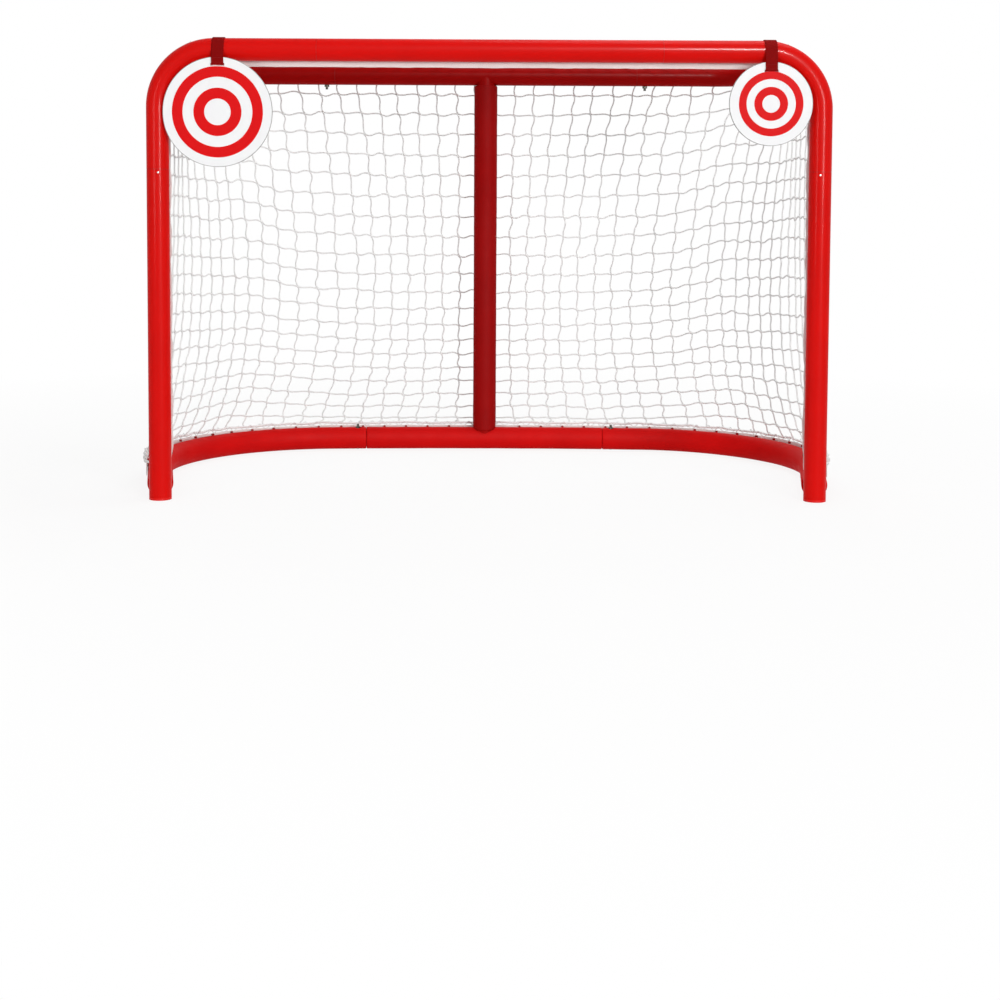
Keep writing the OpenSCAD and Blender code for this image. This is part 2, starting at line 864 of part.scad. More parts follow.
module target_strap(target) {
    pivot_z = bar_z - target[5];
    loop_r = tube_r + strap_gap + target[5];
    slot = [strap_shoulder.x, target[1] + target[3] - pivot_z];
    outer = [-strap_t, 0];
    color("maroon") placed() translate([target[0] - strap_w / 2, 0, pivot_z])
        rotate([90, 0, 90]) linear_extrude(strap_w) difference() {
            polygon(band(loop_r + strap_t, strap_shoulder + outer,
                slot + outer - [0, strap_t], 1));
            polygon(band(loop_r, strap_shoulder, slot, 1.001));
        }
}

module large_target_plate() {
    target_plate(large_target);
}

module large_target_rings() {
    target_rings(large_target);
}

module large_target_strap() {
    target_strap(large_target);
}

module small_target_plate() {
    target_plate(small_target);
}

module small_target_rings() {
    target_rings(small_target);
}

module small_target_strap() {
    target_strap(small_target);
}

crossbar_tube();
corner_tube_left();
corner_tube_right();
post_left();
post_right();
crossbar_sleeves();
post_sleeves();
front_bolts();
front_weld_nuts();
foot_cap_left();
foot_cap_right();
top_socket_left();
top_socket_right();
base_socket_left();
base_socket_right();
top_rail_left();
top_rail_centre();
top_rail_right();
base_rail_left();
base_rail_centre();
base_rail_right();
centre_post();
top_rail_sleeves();
base_rail_sleeves();
top_socket_sleeves();
base_socket_sleeves();
top_rail_bolts();
top_rail_nuts();
base_rail_bolts();
base_rail_nuts();
base_pad_left();
base_pad_centre();
base_pad_right();
centre_post_pad();
crossbar_hem();
post_hem_left();
post_hem_right();
base_hem_left();
base_hem_right();
base_net_pegs();
post_net_pegs();
crossbar_net_pegs();
net_side_left();
net_corner_left();
net_back_left();
net_side_right();
net_corner_right();
net_back_right();
net_roof();
large_target_plate();
large_target_rings();
large_target_strap();
small_target_plate();
small_target_rings();
small_target_strap();
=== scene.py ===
"""Ice hockey practice goal: paint, pads, cord net, hems, lacing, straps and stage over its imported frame.

Lengths below are in millimetres in the goal's own frame, where y is nought at the axes of the front
posts, x runs across the goal and z is height over the ice. place() turns them into the row frame.
"""

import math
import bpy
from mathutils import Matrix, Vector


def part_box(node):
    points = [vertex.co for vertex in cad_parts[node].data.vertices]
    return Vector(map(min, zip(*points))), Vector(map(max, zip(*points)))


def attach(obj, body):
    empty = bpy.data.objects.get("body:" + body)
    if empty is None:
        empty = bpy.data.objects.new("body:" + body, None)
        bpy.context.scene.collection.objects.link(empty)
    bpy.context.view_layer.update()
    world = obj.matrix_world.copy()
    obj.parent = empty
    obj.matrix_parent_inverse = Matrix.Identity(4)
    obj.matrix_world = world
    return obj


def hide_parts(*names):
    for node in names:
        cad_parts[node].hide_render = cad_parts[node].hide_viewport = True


bl_info = {
    "name": "Hockey Goal",
    "version": (1, 0, 0),
    "blender": (4, 5, 0),
    "location": "View3D > Sidebar > Hockey Goal",
    "description": "Ice hockey practice goal with cord net, rail pads and two hanging targets",
    "category": "Add Mesh",
}

import bpy
import numpy as np
from bpy.props import FloatProperty, FloatVectorProperty, IntProperty, PointerProperty
from mathutils import Euler, Vector

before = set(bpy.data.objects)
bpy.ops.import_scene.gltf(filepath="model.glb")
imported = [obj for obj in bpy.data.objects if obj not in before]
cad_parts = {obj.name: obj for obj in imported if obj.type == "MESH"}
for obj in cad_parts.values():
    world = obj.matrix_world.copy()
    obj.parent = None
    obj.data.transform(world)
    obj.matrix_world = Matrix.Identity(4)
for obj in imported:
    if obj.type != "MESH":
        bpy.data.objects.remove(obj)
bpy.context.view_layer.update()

# ---------------------------------------------------------------- sizes of the goal, from its frame
MM = 0.001
POST_Y = sum(corner.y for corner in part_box("post_left")) / 2
TUBE_R = (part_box("post_left")[1].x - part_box("post_left")[0].x) / 2 / MM
POST_X = (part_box("post_right")[0].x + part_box("post_right")[1].x) / 2 / MM
BAR_Z = (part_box("crossbar_tube")[0].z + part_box("crossbar_tube")[1].z) / 2 / MM
REAR = 900.0  # from the posts' axes to the back rails'
BEND_R = 152.4  # bend between post and crossbar
BEND_X, BEND_Z = POST_X - BEND_R, BAR_Z - BEND_R
TOP_X = POST_X - 90  # where the top rail leaves the bend
TOP_Z = BEND_Z + math.sqrt(BEND_R**2 - (TOP_X - BEND_X) ** 2)
TOP_SLOPE = math.tan(math.asin((BAR_Z - TOP_Z) / REAR))
BASE_REACH, TOP_REACH = POST_X + 64, POST_X - 15  # half widths of the rails
BASE_CORNER_R, TOP_CORNER_R = 500.0, 150.0
BASE_BACK_R, STRAIGHT = 7000.0, 1e9

# pads: foam sleeves of the base rail and of the centre post
PAD_R, POST_PAD_R = 35.5, 37.2
POST_PAD_FLAT = 32.8  # from the post's axis to the pad's flat back
BASE_Z = 35.75  # axis of the base rail
PAD_START, SIDE_BOLT, BASE_SEAM = 40.0, 114.0, 383.0  # along the base rail, the last from its middle
SEAM_BOLT, SEAM_GAP = 28.0, 0.3  # bolt beside the seam between two pads, and half the gap in it
PAD_CORNERS = 72
TURN_IN, GROWN = 4.0, 40.0  # depth of a sleeve's rounded end, and where its swells are full
SADDLE_R, SADDLE_LOW = 35.9, 27.0  # foot of the post's pad over the base pad
POST_PAD_LONG = 1100.0
SKIN = 0.3  # gap between a tube and the sleeve on it
SLACK, POST_SLACK = 0.45, 0.3  # how far a cover lies inside its pad's outline
GROOVE, POST_GROOVE = PAD_R / 2.2, 18.5  # how sharp the grooves of the covers' seams are
HOLE_R, HOLE_SLOPE = 8.4, 2.2  # dip of a sleeve round a bolt
HOLE_LEVEL = 33.0  # radius at which a dip's way round the sleeve is measured

# net: it wraps the top rail, and stands off the base rail on its rope
BASE_NET_Z = BASE_Z + 42
WRAP_R = TUBE_R + 4.5
NET_SIDE_Y = 35.4  # front edge of the sides
NET_BEHIND = -16.0  # the front edge draws in behind the post
NET_BASE_OUT = 40.75
SIDE_DRAW = 48.0  # how far the sides are drawn in
CORD_DRIFT = 0.033  # how far the cords gather towards the middle, in half widths
COLUMN_CROWD = 0.018
ROW_CROWD = 0.055
SIDE_RISE = 26.0  # how far the rows rise on the sides
CORD_APART = 0.5  # uprights lie this far outside the net's surface, and rows inside it
ROOF_MESH = 66.0
ROOF_DEEP = 15  # meshes of the roof from front to back
ROOF_IN = 6.0  # the roof ends this far inside the rails
ROOF_HEM = 16.0  # the roof meets the crossbar's hem this far under the bar's axis
ROOF_HANG = 16.0

# hems and ropes
HEM_THICK, STRAP_THICK = 0.0022, 0.0019  # metres
HEM_OUT, HEM_START = 37.35, 180.0
HEM_WIDE = 0.0375  # metres
HEM_TUCK = 0.150  # height in metres under which a post's hem turns behind it
ROPE_START, ROPE_LOW, ROPE_HIGH = 46.0, 77.0, 82.5
ROPE_OUT = NET_BASE_OUT + 0.4
LACE_START, LACE_PITCH = 190.0, 70.0
LACE_HIGH, LACE_DEEP = 84.6, 14.5
LACE_R, THREAD_R = 0.0014, 0.00035  # metres

# targets: name, height of the centre, slot over the centre, and how far the strap hangs under the bar
TARGETS = (("large_target", 1039.0, 125.0, 0.0), ("small_target", 1067.0, 86.5, 1.5))
STRAP_Y, SHOULDER_Z = -37.6, -20.4  # front of a strap's loop, and its bend over the target's edge
STITCH_Y = -38.62  # just before the strap's front

BUTTON_Z, BUTTON_TURN = 879.0, math.radians(11)  # spring buttons, turned inwards round the post
SEED = 7

# stage, in metres
FLOOR_R, FLOOR_Z = 60.0, -0.0006
EYE = (-0.06255, POST_Y - 4.33937, 0.81532)
EYE_TURN = (90 - 3.608, -0.251, -0.398)
EYE_SHIFT = (0.0227, -0.2)
LAMPS_AIM = Vector((0, 0, 0.6))

ACROSS, BACK, UP = np.eye(3)  # directions of the row frame
SIDES = (-1, 1)  # left and right


# ---------------------------------------------------------------- settings
def linear(code):
    """An sRGB hex colour as linear red, green, blue and alpha."""
    values = np.array([int(code[i : i + 2], 16) for i in (1, 3, 5)]) / 255
    values = np.where(values <= 0.04045, values / 12.92, ((values + 0.055) / 1.055) ** 2.4)
    return (*values.tolist(), 1.0)


def metres(name, description, default):
    return FloatProperty(name=name, description=description, default=default, unit="LENGTH")


def watts(name, description, default):
    return FloatProperty(name=name, description=description, default=default, unit="POWER")


def tint(name, description, code):
    colour = linear(code)[:3]
    return FloatVectorProperty(name=name, description=description, default=colour, subtype="COLOR")


class GoalNetSettings(bpy.types.PropertyGroup):
    columns: IntProperty(name="Columns", description="Upright cords on each half", default=27, min=8)
    rows: IntProperty(name="Rows", description="Meshes from the base rail to the top rail", default=21, min=6)
    cord: metres("Cord", "Diameter of the net cord", 0.0046)
    rope: metres("Rope", "Diameter of the border rope", 0.0068)
    belly: metres("Belly", "How far the back bulges", 0.085)
    sag: metres("Sag", "How far the rows sag in the middle", 0.060)
    wave: FloatProperty(name="Wave", description="Swing of a cord between knots, in meshes", default=0.044)
    colour: tint("Cord colour", "Colour of the net cord", "#EBEBEA")


class GoalPadSettings(bpy.types.PropertyGroup):
    crown: metres("Crown", "How far the foam swells and its cover creases", 0.0006)
    wrinkle: metres("Wrinkle", "Depth of the base covers' wrinkles", 0.0005)
    colour: tint("Cover colour", "Colour of the base rail's vinyl covers", "#CA0808")
    # the post cover colour is the base covers' red made darker: painted shade on the centre post
    post: tint("Post cover colour", "Colour of the centre post's vinyl cover", "#930303")


class GoalPaintSettings(bpy.types.PropertyGroup):
    front: tint("Front colour", "Powder coat of the posts and crossbar", "#D40A05")
    # the rear colour is the front's red made darker: painted shade for the less lit rear frame
    rear: tint("Rear colour", "Powder coat of the rear frame", "#9F0504")
    gloss: FloatProperty(name="Roughness", description="Roughness of the coat", default=0.38, min=0, max=1)


class GoalTargetSettings(bpy.types.PropertyGroup):
    face: tint("Face colour", "Colour of the target sheet", "#EFEFF0")
    ring: tint("Ring colour", "Colour of the printed rings", "#DA1719")
    strap: tint("Strap colour", "Colour of the hanging straps", "#850000")


class GoalStageSettings(bpy.types.PropertyGroup):
    lens: FloatProperty(name="Lens", description="Focal length on a 36 mm sensor", default=58.298)
    key: watts("Key light", "Power of the key light", 305.0)
    fill: watts("Fill light", "Power of the fill light", 27.0)
    glint: watts("Glint light", "Power of the light that only glints", 760.0)
    top: watts("Top light", "Power of the light overhead", 36.0)
    sky: FloatProperty(name="Sky", description="Strength of the soft light from all round", default=0.5)


# ---------------------------------------------------------------- shapes as arrays
def place(x, y, z):
    """Millimetres in the goal's own frame become metres in the row frame."""
    x, y, z = np.broadcast_arrays(x, y, z)
    return np.stack([x * MM, y * MM + POST_Y, z * MM], -1)


def mix(a, b, share):
    return a + (b - a) * share


def smooth(share):
    """A smooth step: three times the square of the share less twice its cube."""
    return share * share * (3 - 2 * share)


def unit(vectors):
    return vectors / np.maximum(np.linalg.norm(vectors, axis=-1, keepdims=True), 1e-12)


def top_z(y):
    """Height of the top rail's axis: it rises evenly from the bends to the middle of the back."""
    return TOP_Z + y * TOP_SLOPE


def plan(front_x, reach_x, corner_r, back_r, s):
    """Plan of a rail or of the net at one height, for distance s from the post: a straight side that
    touches the corner's circle, the corner's arc, then the back's arc, whose centre is on the middle
    line. Returns x, y, the angle of the outward normal, and the whole length."""
    front_x, reach_x, corner_r, back_r, s = np.broadcast_arrays(front_x, reach_x, corner_r, back_r, s)
    cx = reach_x - corner_r
    cy = REAR - back_r + np.sqrt((back_r - corner_r) ** 2 - cx**2)
    gap = np.hypot(front_x - cx, cy)
    side = np.arctan2(-cy, front_x - cx) + np.arccos(corner_r / gap)
    back = np.arccos(cx / (back_r - corner_r))
    side_len = np.hypot(cx + corner_r * np.cos(side) - front_x, cy + corner_r * np.sin(side))
    corner_len = corner_r * (back - side)
    length = side_len + corner_len + back_r * (np.pi / 2 - back)
    past = s - side_len
    in_corner = past <= corner_len
    angle = np.where(past <= 0, side, side + past / corner_r)
    angle = np.where(in_corner, angle, back + (past - corner_len) / back_r)
    bow = np.where(in_corner, corner_r, back_r)
    arc_x = np.where(in_corner, cx, 0) + bow * np.cos(angle)
    arc_y = np.where(in_corner, cy, REAR - back_r) + bow * np.sin(angle)
    x = np.where(past <= 0, front_x - s * np.sin(side), arc_x)
    y = np.where(past <= 0, s * np.cos(side), arc_y)
    return x, y, angle, length


def base_plan(s):
    return plan(POST_X, BASE_REACH, BASE_CORNER_R, BASE_BACK_R, s)


def top_plan(s):
    return plan(TOP_X, TOP_REACH, TOP_CORNER_R, STRAIGHT, s)


def beside(side, s, off, z):
    """Points beside the base rail: its plan at distance s, moved outwards by off, at height z."""
    x, y, angle, _ = base_plan(s)
    return place(side * (x + off * np.cos(angle)), y + off * np.sin(angle), z)


def net_plan(h, s):
    """Plan of the net at height share h: it follows the post and its bend in front, and its corner
    opens from the top rail's to the base rail's with the sixth power of the height share."""
    z = mix(BASE_NET_Z, TOP_Z, h)
    bend = BEND_X + np.sqrt(np.maximum(BEND_R**2 - (z - BEND_Z) ** 2, 0))
    front_x = np.where(z < BEND_Z, POST_X, bend)
    corner_r = mix(BASE_CORNER_R, TOP_CORNER_R, np.clip(h, 0, 1) ** 6)
    back_r = BASE_BACK_R / (1 - np.minimum(h, 1) + 1e-5)
    return plan(front_x, mix(BASE_REACH, TOP_REACH, h), corner_r, back_r, s)


def net_wall(u, h, belly):
    """Net wall, u from the post to the middle of the back and h from the base to the top rail. The
    back is pushed out by belly times a sine of height that is largest low down. The cords gather,
    most at a third of the height: they drift towards the middle, and the sides are drawn in, each by
    a power of a sine of height. The front edge draws in behind the post. Returns x, y, z and the
    angle of the outward normal."""
    u, h = np.broadcast_arrays(np.asarray(u, float), np.asarray(h, float))
    h = np.clip(h, 0, 1)
    gather = np.maximum(np.sin(np.pi * h**0.6), 0)
    drift = CORD_DRIFT * gather**1.5 * np.sin(np.pi * u)
    from_post = np.minimum(u, 2 - u)
    near = np.clip(from_post * 12, 0, 1)
    out = mix(mix(NET_BEHIND, WRAP_R, h**12), mix(NET_BASE_OUT, WRAP_R, h), near)
    swell = np.sin(np.pi / 2 * np.clip(2.2 * (from_post - 0.33), 0, 1)) ** 2
    out = out + belly * swell * np.sin(np.pi * h**0.42)
    out = out - SIDE_DRAW * gather**0.8 * np.sin(np.pi * np.clip(from_post / 0.6, 0, 1))
    length = net_plan(h, 0.0)[3]
    x, y, angle, _ = net_plan(h, mix(NET_SIDE_Y, length, u + drift))
    x, y = x + out * np.cos(angle), y + out * np.sin(angle)
    return x, y, mix(BASE_NET_Z, top_z(y), h), angle


def sweep(paths, across, profile, closed=False):
    """Carries a closed profile along each path. paths is (paths, points, 3), across the direction of
    the profile's first axis, less its part along the path, and profile (corners, 2), or one for each
    point. Every ring is the path's point plus the profile's two numbers times across and up, where up
    is along turned against across. Returns points, faces and the uv of each face corner: the first
    number goes once round the profile and the second is metres along."""
    n, m = paths.shape[:2]
    along = unit(np.roll(paths, -1, 1) - np.roll(paths, 1, 1) if closed else np.gradient(paths, axis=1))
    across = unit(across - (across * along).sum(-1, keepdims=True) * along)
    up = np.cross(along, across)
    profile = np.broadcast_to(profile, (n, m) + profile.shape[-2:])
    k = profile.shape[-2]
    points = paths[:, :, None] + profile[..., :1] * across[:, :, None] + profile[..., 1:] * up[:, :, None]
    a, i, j = np.meshgrid(np.arange(n), np.arange(m if closed else m - 1), np.arange(k), indexing="ij")
    i2, j2 = (i + 1) % m, (j + 1) % k
    corners = (i, j), (i, j2), (i2, j2), (i2, j)
    quads = np.stack([(a * m + p) * k + q for p, q in corners], -1).reshape(-1, 4)
    step = np.linalg.norm(np.roll(paths, -1, 1) - paths, axis=-1)
    far = np.concatenate([np.zeros((n, 1)), np.cumsum(step, 1)], 1)
    corners = (i, j), (i, j + 1), (i + 1, j + 1), (i + 1, j)
    uv = np.stack([np.stack([q / k, far[a, p]], -1) for p, q in corners], -2)
    faces, uvs = [quads], [uv.reshape(-1, 2)]
    if not closed:
        ring = np.arange(k)
        first = (np.arange(n) * m * k)[:, None]
        for cap in (first + ring[::-1], first + (m - 1) * k + ring):
            faces.append(cap)
            uvs.append(np.zeros((cap.size, 2)))
    return points.reshape(-1, 3), faces, np.concatenate(uvs)


def circle(radius, corners):
    turn = np.arange(corners) / corners * 2 * np.pi
    return np.stack([radius * np.cos(turn), radius * np.sin(turn)], -1)


def rounded_band(width, thick):
    """Profile of a flat band with round edges: two flats joined by half circles."""
    turn = np.linspace(-np.pi / 2, np.pi / 2, 5)
    flat_half = width / 2 - thick / 2
    right = np.stack([flat_half + thick / 2 * np.cos(turn), thick / 2 * np.sin(turn)], -1)
    flat = np.linspace(0.75, -0.75, 4)[:, None] * np.array([[flat_half, 0]]) + [[0, thick / 2]]
    return np.concatenate([right, flat, -right, -flat])


def joined(parts):
    """Several (points, faces, uv) sets become one, each one's faces counted on from the last."""
    points, faces, uvs, base = [], [], [], 0
    for part_points, part_faces, part_uv in parts:
        points.append(part_points)
        faces += [face + base for face in part_faces]
        uvs.append(part_uv)
        base += len(part_points)
    return np.concatenate(points), faces, np.concatenate(uvs)


def new_piece(name, shape, material, body="goal"):
    """Puts points, faces and uv into a smooth mesh object that rides on a body."""
    points, faces, uv = shape
    mesh = bpy.data.meshes.new(name)
    counts = np.concatenate([np.full(len(face), face.shape[1], np.int32) for face in faces])
    corners = np.concatenate([face.ravel() for face in faces]).astype(np.int32)
    starts = np.concatenate([[0], np.cumsum(counts)[:-1]]).astype(np.int32)
    mesh.vertices.add(len(points))
    mesh.vertices.foreach_set("co", points.astype(np.float32).ravel())
    mesh.loops.add(len(corners))
    mesh.loops.foreach_set("vertex_index", corners)
    mesh.polygons.add(len(counts))
    mesh.polygons.foreach_set("loop_start", starts)
    mesh.polygons.foreach_set("use_smooth", np.full(len(counts), True))
    mesh.uv_layers.new(name="UVMap").data.foreach_set("uv", uv.astype(np.float32).ravel())
    mesh.update(calc_edges=True)
    if mesh.validate():
        raise RuntimeError(f"{name}: the faces don't make a sound mesh")
    mesh.materials.append(material)
    piece = bpy.data.objects.new(name, mesh)
    bpy.context.scene.collection.objects.link(piece)
    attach(piece, body)
    return piece


def smooth_noise(count, period, rng):
    """Slow random waves from -1 to 1 along count samples: random values every period samples, joined
    by half cosines."""
    ends = rng.uniform(-1, 1, int(count / period) + 3)
    at = np.linspace(0, len(ends) - 1.001, count)
    low = at.astype(int)
    share = (1 - np.cos(np.pi * (at - low))) / 2
    return mix(ends[low], ends[low + 1], share)


# ---------------------------------------------------------------- materials
def wire(made, links):
    """Gives a node's inputs a value each, or the output given, or a given node's first one in use."""
    for name, value in links.items():
        if isinstance(value, bpy.types.Node):
            value = next(output for output in value.outputs if output.enabled)
        if isinstance(value, bpy.types.NodeSocket):
            made.id_data.links.new(value, made.inputs[name])
        else:
            made.inputs[name].default_value = value
    return made


def add_node(tree, kind, links=None, **settings):
    """Adds one node. settings are its own properties, and links says what goes into its inputs."""
    made = tree.nodes.new("ShaderNode" + kind)
    for name, value in settings.items():
        setattr(made, name, value)
    return wire(made, links or {})


def new_material(name, colour, **sockets):
    """A material with one Principled shader, its constants on the shader's own sockets. Returns the
    material, its nodes, the shader and the object's coordinates."""
    material = bpy.data.materials.new(name)
    material.use_nodes = True
    material.diffuse_color = colour
    tree = material.node_tree
    constants = {socket.replace("_", " "): value for socket, value in sockets.items()}
    shader = wire(tree.nodes["Principled BSDF"], {"Base Color": colour, **constants})
    return material, tree, shader, add_node(tree, "TexCoord").outputs["Object"]


def shade(colour, factor):
    """The same linear colour made darker or lighter."""
    return (*[min(1.0, float(value) * factor) for value in colour[:3]], 1.0)


def clouded(tree, here, lump_mm, detail, low, high):
    """Soft lumps about lump_mm across that go from one value or colour to another."""
    cloud = add_node(tree, "TexNoise", {"Vector": here, "Scale": 1000 / lump_mm, "Detail": detail})
    if isinstance(low, tuple):
        return add_node(tree, "Mix", {0: cloud, 6: low, 7: high}, data_type="RGBA")
    return add_node(tree, "MapRange", {"Value": cloud, "To Min": low, "To Max": high})


def grained(tree, here, grain_mm, detail, depth_mm, strength):
    """An even grain, grain_mm from lump to lump and depth_mm deep."""
    height = add_node(tree, "TexNoise", {"Vector": here, "Scale": 1000 / grain_mm, "Detail": detail})
    return add_node(tree, "Bump", {"Height": height, "Distance": depth_mm * MM, "Strength": strength})


def even_finish(name, colour, tones, rough, sizes, depth_mm, strength, details=(3, 2, 2), **sockets):
    """A finish that is much the same all over: its colour goes softly between two tones and its
    roughness between two values, over an even grain. sizes are those of the three in millimetres."""
    material, tree, shader, here = new_material(name, colour, **sockets)
    base = clouded(tree, here, sizes[0], details[0], *tones)
    roughness = clouded(tree, here, sizes[1], details[1], *rough)
    grain = grained(tree, here, sizes[2], details[2], depth_mm, strength)
    wire(shader, {"Base Color": base, "Roughness": roughness, "Normal": grain})
    return material


def powder_coat(name, colour, roughness, clear):
    """Baked powder coat on steel tube: even gloss red with a fine orange peel, and here and there a
    dull patch of upright hair scratches. The peel is 2.5 mm here, coarser than the real 1 mm, so that
    it shows. clear is the weight of the gloss over the colour."""
    material, tree, shader, here = new_material(
        name, colour, Specular_IOR_Level=0.03, Coat_Weight=clear, Coat_Roughness=0.12
    )
    drawn = add_node(tree, "Mapping", {"Vector": here, "Scale": (1.0, 1.0, 0.06)})
    hair = add_node(
        tree, "TexNoise", {"Vector": drawn, "Scale": 1000 / 3.2, "Detail": 3, "Roughness": 0.6}
    )
    hair = add_node(tree, "MapRange", {"Value": hair, "From Min": 0.66, "From Max": 0.72})
    rubbed = add_node(tree, "TexNoise", {"Vector": here, "Scale": 1000 / 60})
    rubbed = add_node(tree, "MapRange", {"Value": rubbed, "From Min": 0.52, "From Max": 0.62})
    scuff = add_node(tree, "Math", {0: hair, 1: rubbed}, operation="MULTIPLY")
    dull = clouded(tree, here, 35, 2, roughness - 0.06, roughness + 0.06)
    dull = add_node(tree, "Math", {0: scuff, 1: 0.22, 2: dull}, operation="MULTIPLY_ADD")
    peel = add_node(tree, "TexNoise", {"Vector": here, "Scale": 1000 / 2.5, "Detail": 1})
    peel = add_node(tree, "Math", {0: scuff, 1: -0.6, 2: peel}, operation="MULTIPLY_ADD")
    peel = add_node(tree, "Bump", {"Height": peel, "Distance": 0.05 * MM, "Strength": 0.5})
    base = clouded(tree, here, 160, 3, shade(colour, 0.86), shade(colour, 1.1))
    wire(shader, {"Base Color": base, "Roughness": dull, "Normal": peel})
    return material


def plated_steel():
    """Zinc plate on steel: dull metal with fine spangle, its colour near black, painted shade for the narrow
    seams it shows in.
    """
    # painted shade: near black tones standing in for the shade inside the seams between tubes
    tones = linear("#2C2D30"), linear("#4B4D51")
    return even_finish(
        "zinc_plated_steel_painted_seam_shade", linear("#3C3D40"), tones, (0.42, 0.6), (7, 4, 0.9), 0.02, 0.5, Metallic=1.0
    )


def polished_steel():
    """Bright nickel plate: the pushed top of a spring button, rubbed by fingers."""
    tones = linear("#B5B1AC"), linear("#D8D5D0")
    return even_finish(
        "bright_nickel_plate", linear("#C9C6C1"), tones, (0.18, 0.34), (3, 2, 0.8), 0.02, 0.4,
        details=(2, 2, 1), Metallic=1.0,
    )  # fmt: skip


def black_oxide():
    """Black oxide on machined steel: almost black, oily sheen, brighter where the wrench rubbed."""
    material, tree, shader, here = new_material(
        "black_oxide_steel", linear("#3C3C35"), Metallic=0.85, Roughness=0.42
    )
    rubbed = add_node(tree, "TexNoise", {"Vector": here, "Scale": 1000 / 3, "Detail": 3})
    rubbed = add_node(tree, "MapRange", {"Value": rubbed, "From Min": 0.45, "From Max": 0.75})
    base = add_node(
        tree, "Mix", {0: rubbed, 6: linear("#33332E"), 7: linear("#76766C")}, data_type="RGBA"
    )
    wire(shader, {"Base Color": base, "Normal": grained(tree, here, 0.6, 2, 0.02, 0.6)})
    return material


def moulded_plastic(name, colour):
    """Moulded polyethylene: waxy red plastic, a little cloudy, with a fine spark-eroded grain."""
    tones = shade(colour, 0.86), shade(colour, 1.12)
    return even_finish(name, colour, tones, (0.34, 0.55), (14, 6, 0.8), 0.04, 0.6, Specular_IOR_Level=0.2)


def ring_print(colour):
    """Screen-printed ink on the foam: flat warm red, slightly glossier than the sheet under it."""
    tones = shade(colour, 0.95), shade(colour, 1.05)
    return even_finish(
        "screen_ink_red", colour, tones, (0.36, 0.5), (9, 20, 1.4), 0.05, 0.4, Specular_IOR_Level=0.02
    )


def vinyl_cover(name, colour):
    """Coated vinyl over foam: matte deep red with an embossed leather grain and soft creases. The
    grain is 2.2 mm here, coarser than the real 1 mm, so that it shows."""
    material, tree, shader, here = new_material(name, colour, Specular_IOR_Level=0.05)
    base = clouded(tree, here, 110, 3, shade(colour, 0.84), shade(colour, 1.12))
    pebble = add_node(tree, "TexVoronoi", {"Vector": here, "Scale": 1000 / 2.2}, feature="DISTANCE_TO_EDGE")
    pebble = add_node(tree, "MapRange", {"Value": pebble, "From Max": 0.22})
    pebble = add_node(tree, "Bump", {"Height": pebble, "Distance": 0.10 * MM, "Strength": 0.55})
    crease = add_node(
        tree, "TexNoise", {"Vector": here, "Scale": 1000 / 26, "Detail": 3, "Roughness": 0.6}
    )
    crease = add_node(
        tree, "Bump", {"Height": crease, "Distance": 0.9 * MM, "Strength": 0.35, "Normal": pebble}
    )
    rough = clouded(tree, here, 40, 2, 0.52, 0.72)
    wire(shader, {"Base Color": base, "Roughness": rough, "Normal": crease})
    return material


def braided_cord(name, colour, turns_mm, strands):
    """Braided polyester: pale matte cord, its strands crossing every turns_mm along it. Two sines
    wind round it, one each way, and the braid is the higher of the two."""
    material, tree, shader, _ = new_material(name, colour, Roughness=0.88, Specular_IOR_Level=0.3)
    parts = add_node(tree, "SeparateXYZ", {0: add_node(tree, "UVMap", uv_map="UVMap")}).outputs
    turn = add_node(tree, "Math", {0: parts[0], 1: strands * 2 * math.pi}, operation="MULTIPLY")
    along = add_node(tree, "Math", {0: parts[1], 1: 2 * math.pi * 1000 / turns_mm}, operation="MULTIPLY")
    one = add_node(tree, "Math", {0: turn, 1: along}, operation="ADD")
    two = add_node(tree, "Math", {0: along, 1: turn}, operation="SUBTRACT")
    one, two = [add_node(tree, "Math", {0: angle}, operation="SINE") for angle in (one, two)]
    braid = add_node(tree, "Math", {0: one, 1: two}, operation="MAXIMUM")
    braid = add_node(tree, "MapRange", {"Value": braid, "From Min": -0.4, "From Max": 1.0})
    # painted shade and light: the cord is darker in the grooves between strands and lighter on their crests
    base = add_node(tree, "Mix", {0: braid, 6: shade(colour, 0.72), 7: shade(colour, 1.15)}, data_type="RGBA")
    height = add_node(tree, "Bump", {"Height": braid, "Distance": 0.5 * MM, "Strength": 0.7})
    wire(shader, {"Base Color": base, "Normal": height})
    return material


def woven_webbing(name, colour, rib_mm, width_mm):
    """Woven polyester webbing: ribs across the band, bent to a chevron by a sine of the way across, with
    painted shade in the grooves and painted light on the ribs. Ribs are drawn a little coarse so that they
    show."""
    material, tree, shader, here = new_material(name, colour, Roughness=0.85, Specular_IOR_Level=0.05)
    parts = add_node(tree, "SeparateXYZ", {0: add_node(tree, "UVMap", uv_map="UVMap")}).outputs
    yarns = 2 * width_mm / 3.0
    yarn = add_node(tree, "Math", {0: parts[0], 1: 2 * math.pi * yarns}, operation="MULTIPLY")
    yarn = add_node(tree, "Math", {0: yarn}, operation="SINE")
    along = add_node(tree, "Math", {0: parts[1], 1: 2 * math.pi * 1000 / rib_mm}, operation="MULTIPLY")
    rib = add_node(tree, "Math", {0: yarn, 1: 1.4, 2: along}, operation="MULTIPLY_ADD")
    rib = add_node(tree, "Math", {0: rib}, operation="SINE")
    fuzz = add_node(tree, "TexNoise", {"Vector": here, "Scale": 1000 / 1.2})
    weave = add_node(tree, "Math", {0: fuzz, 1: 0.8, 2: rib}, operation="MULTIPLY_ADD")
    weave = add_node(tree, "MapRange", {"Value": weave, "From Min": -0.9, "From Max": 1.4})
    # painted shade and light: darker in the grooves and lighter on the ribs, with a random fuzz
    base = add_node(tree, "Mix", {0: weave, 6: shade(colour, 0.7), 7: shade(colour, 1.12)}, data_type="RGBA")
    height = add_node(tree, "Bump", {"Height": weave, "Distance": 0.35 * MM, "Strength": 0.6})
    wire(shader, {"Base Color": base, "Normal": height})
    return material


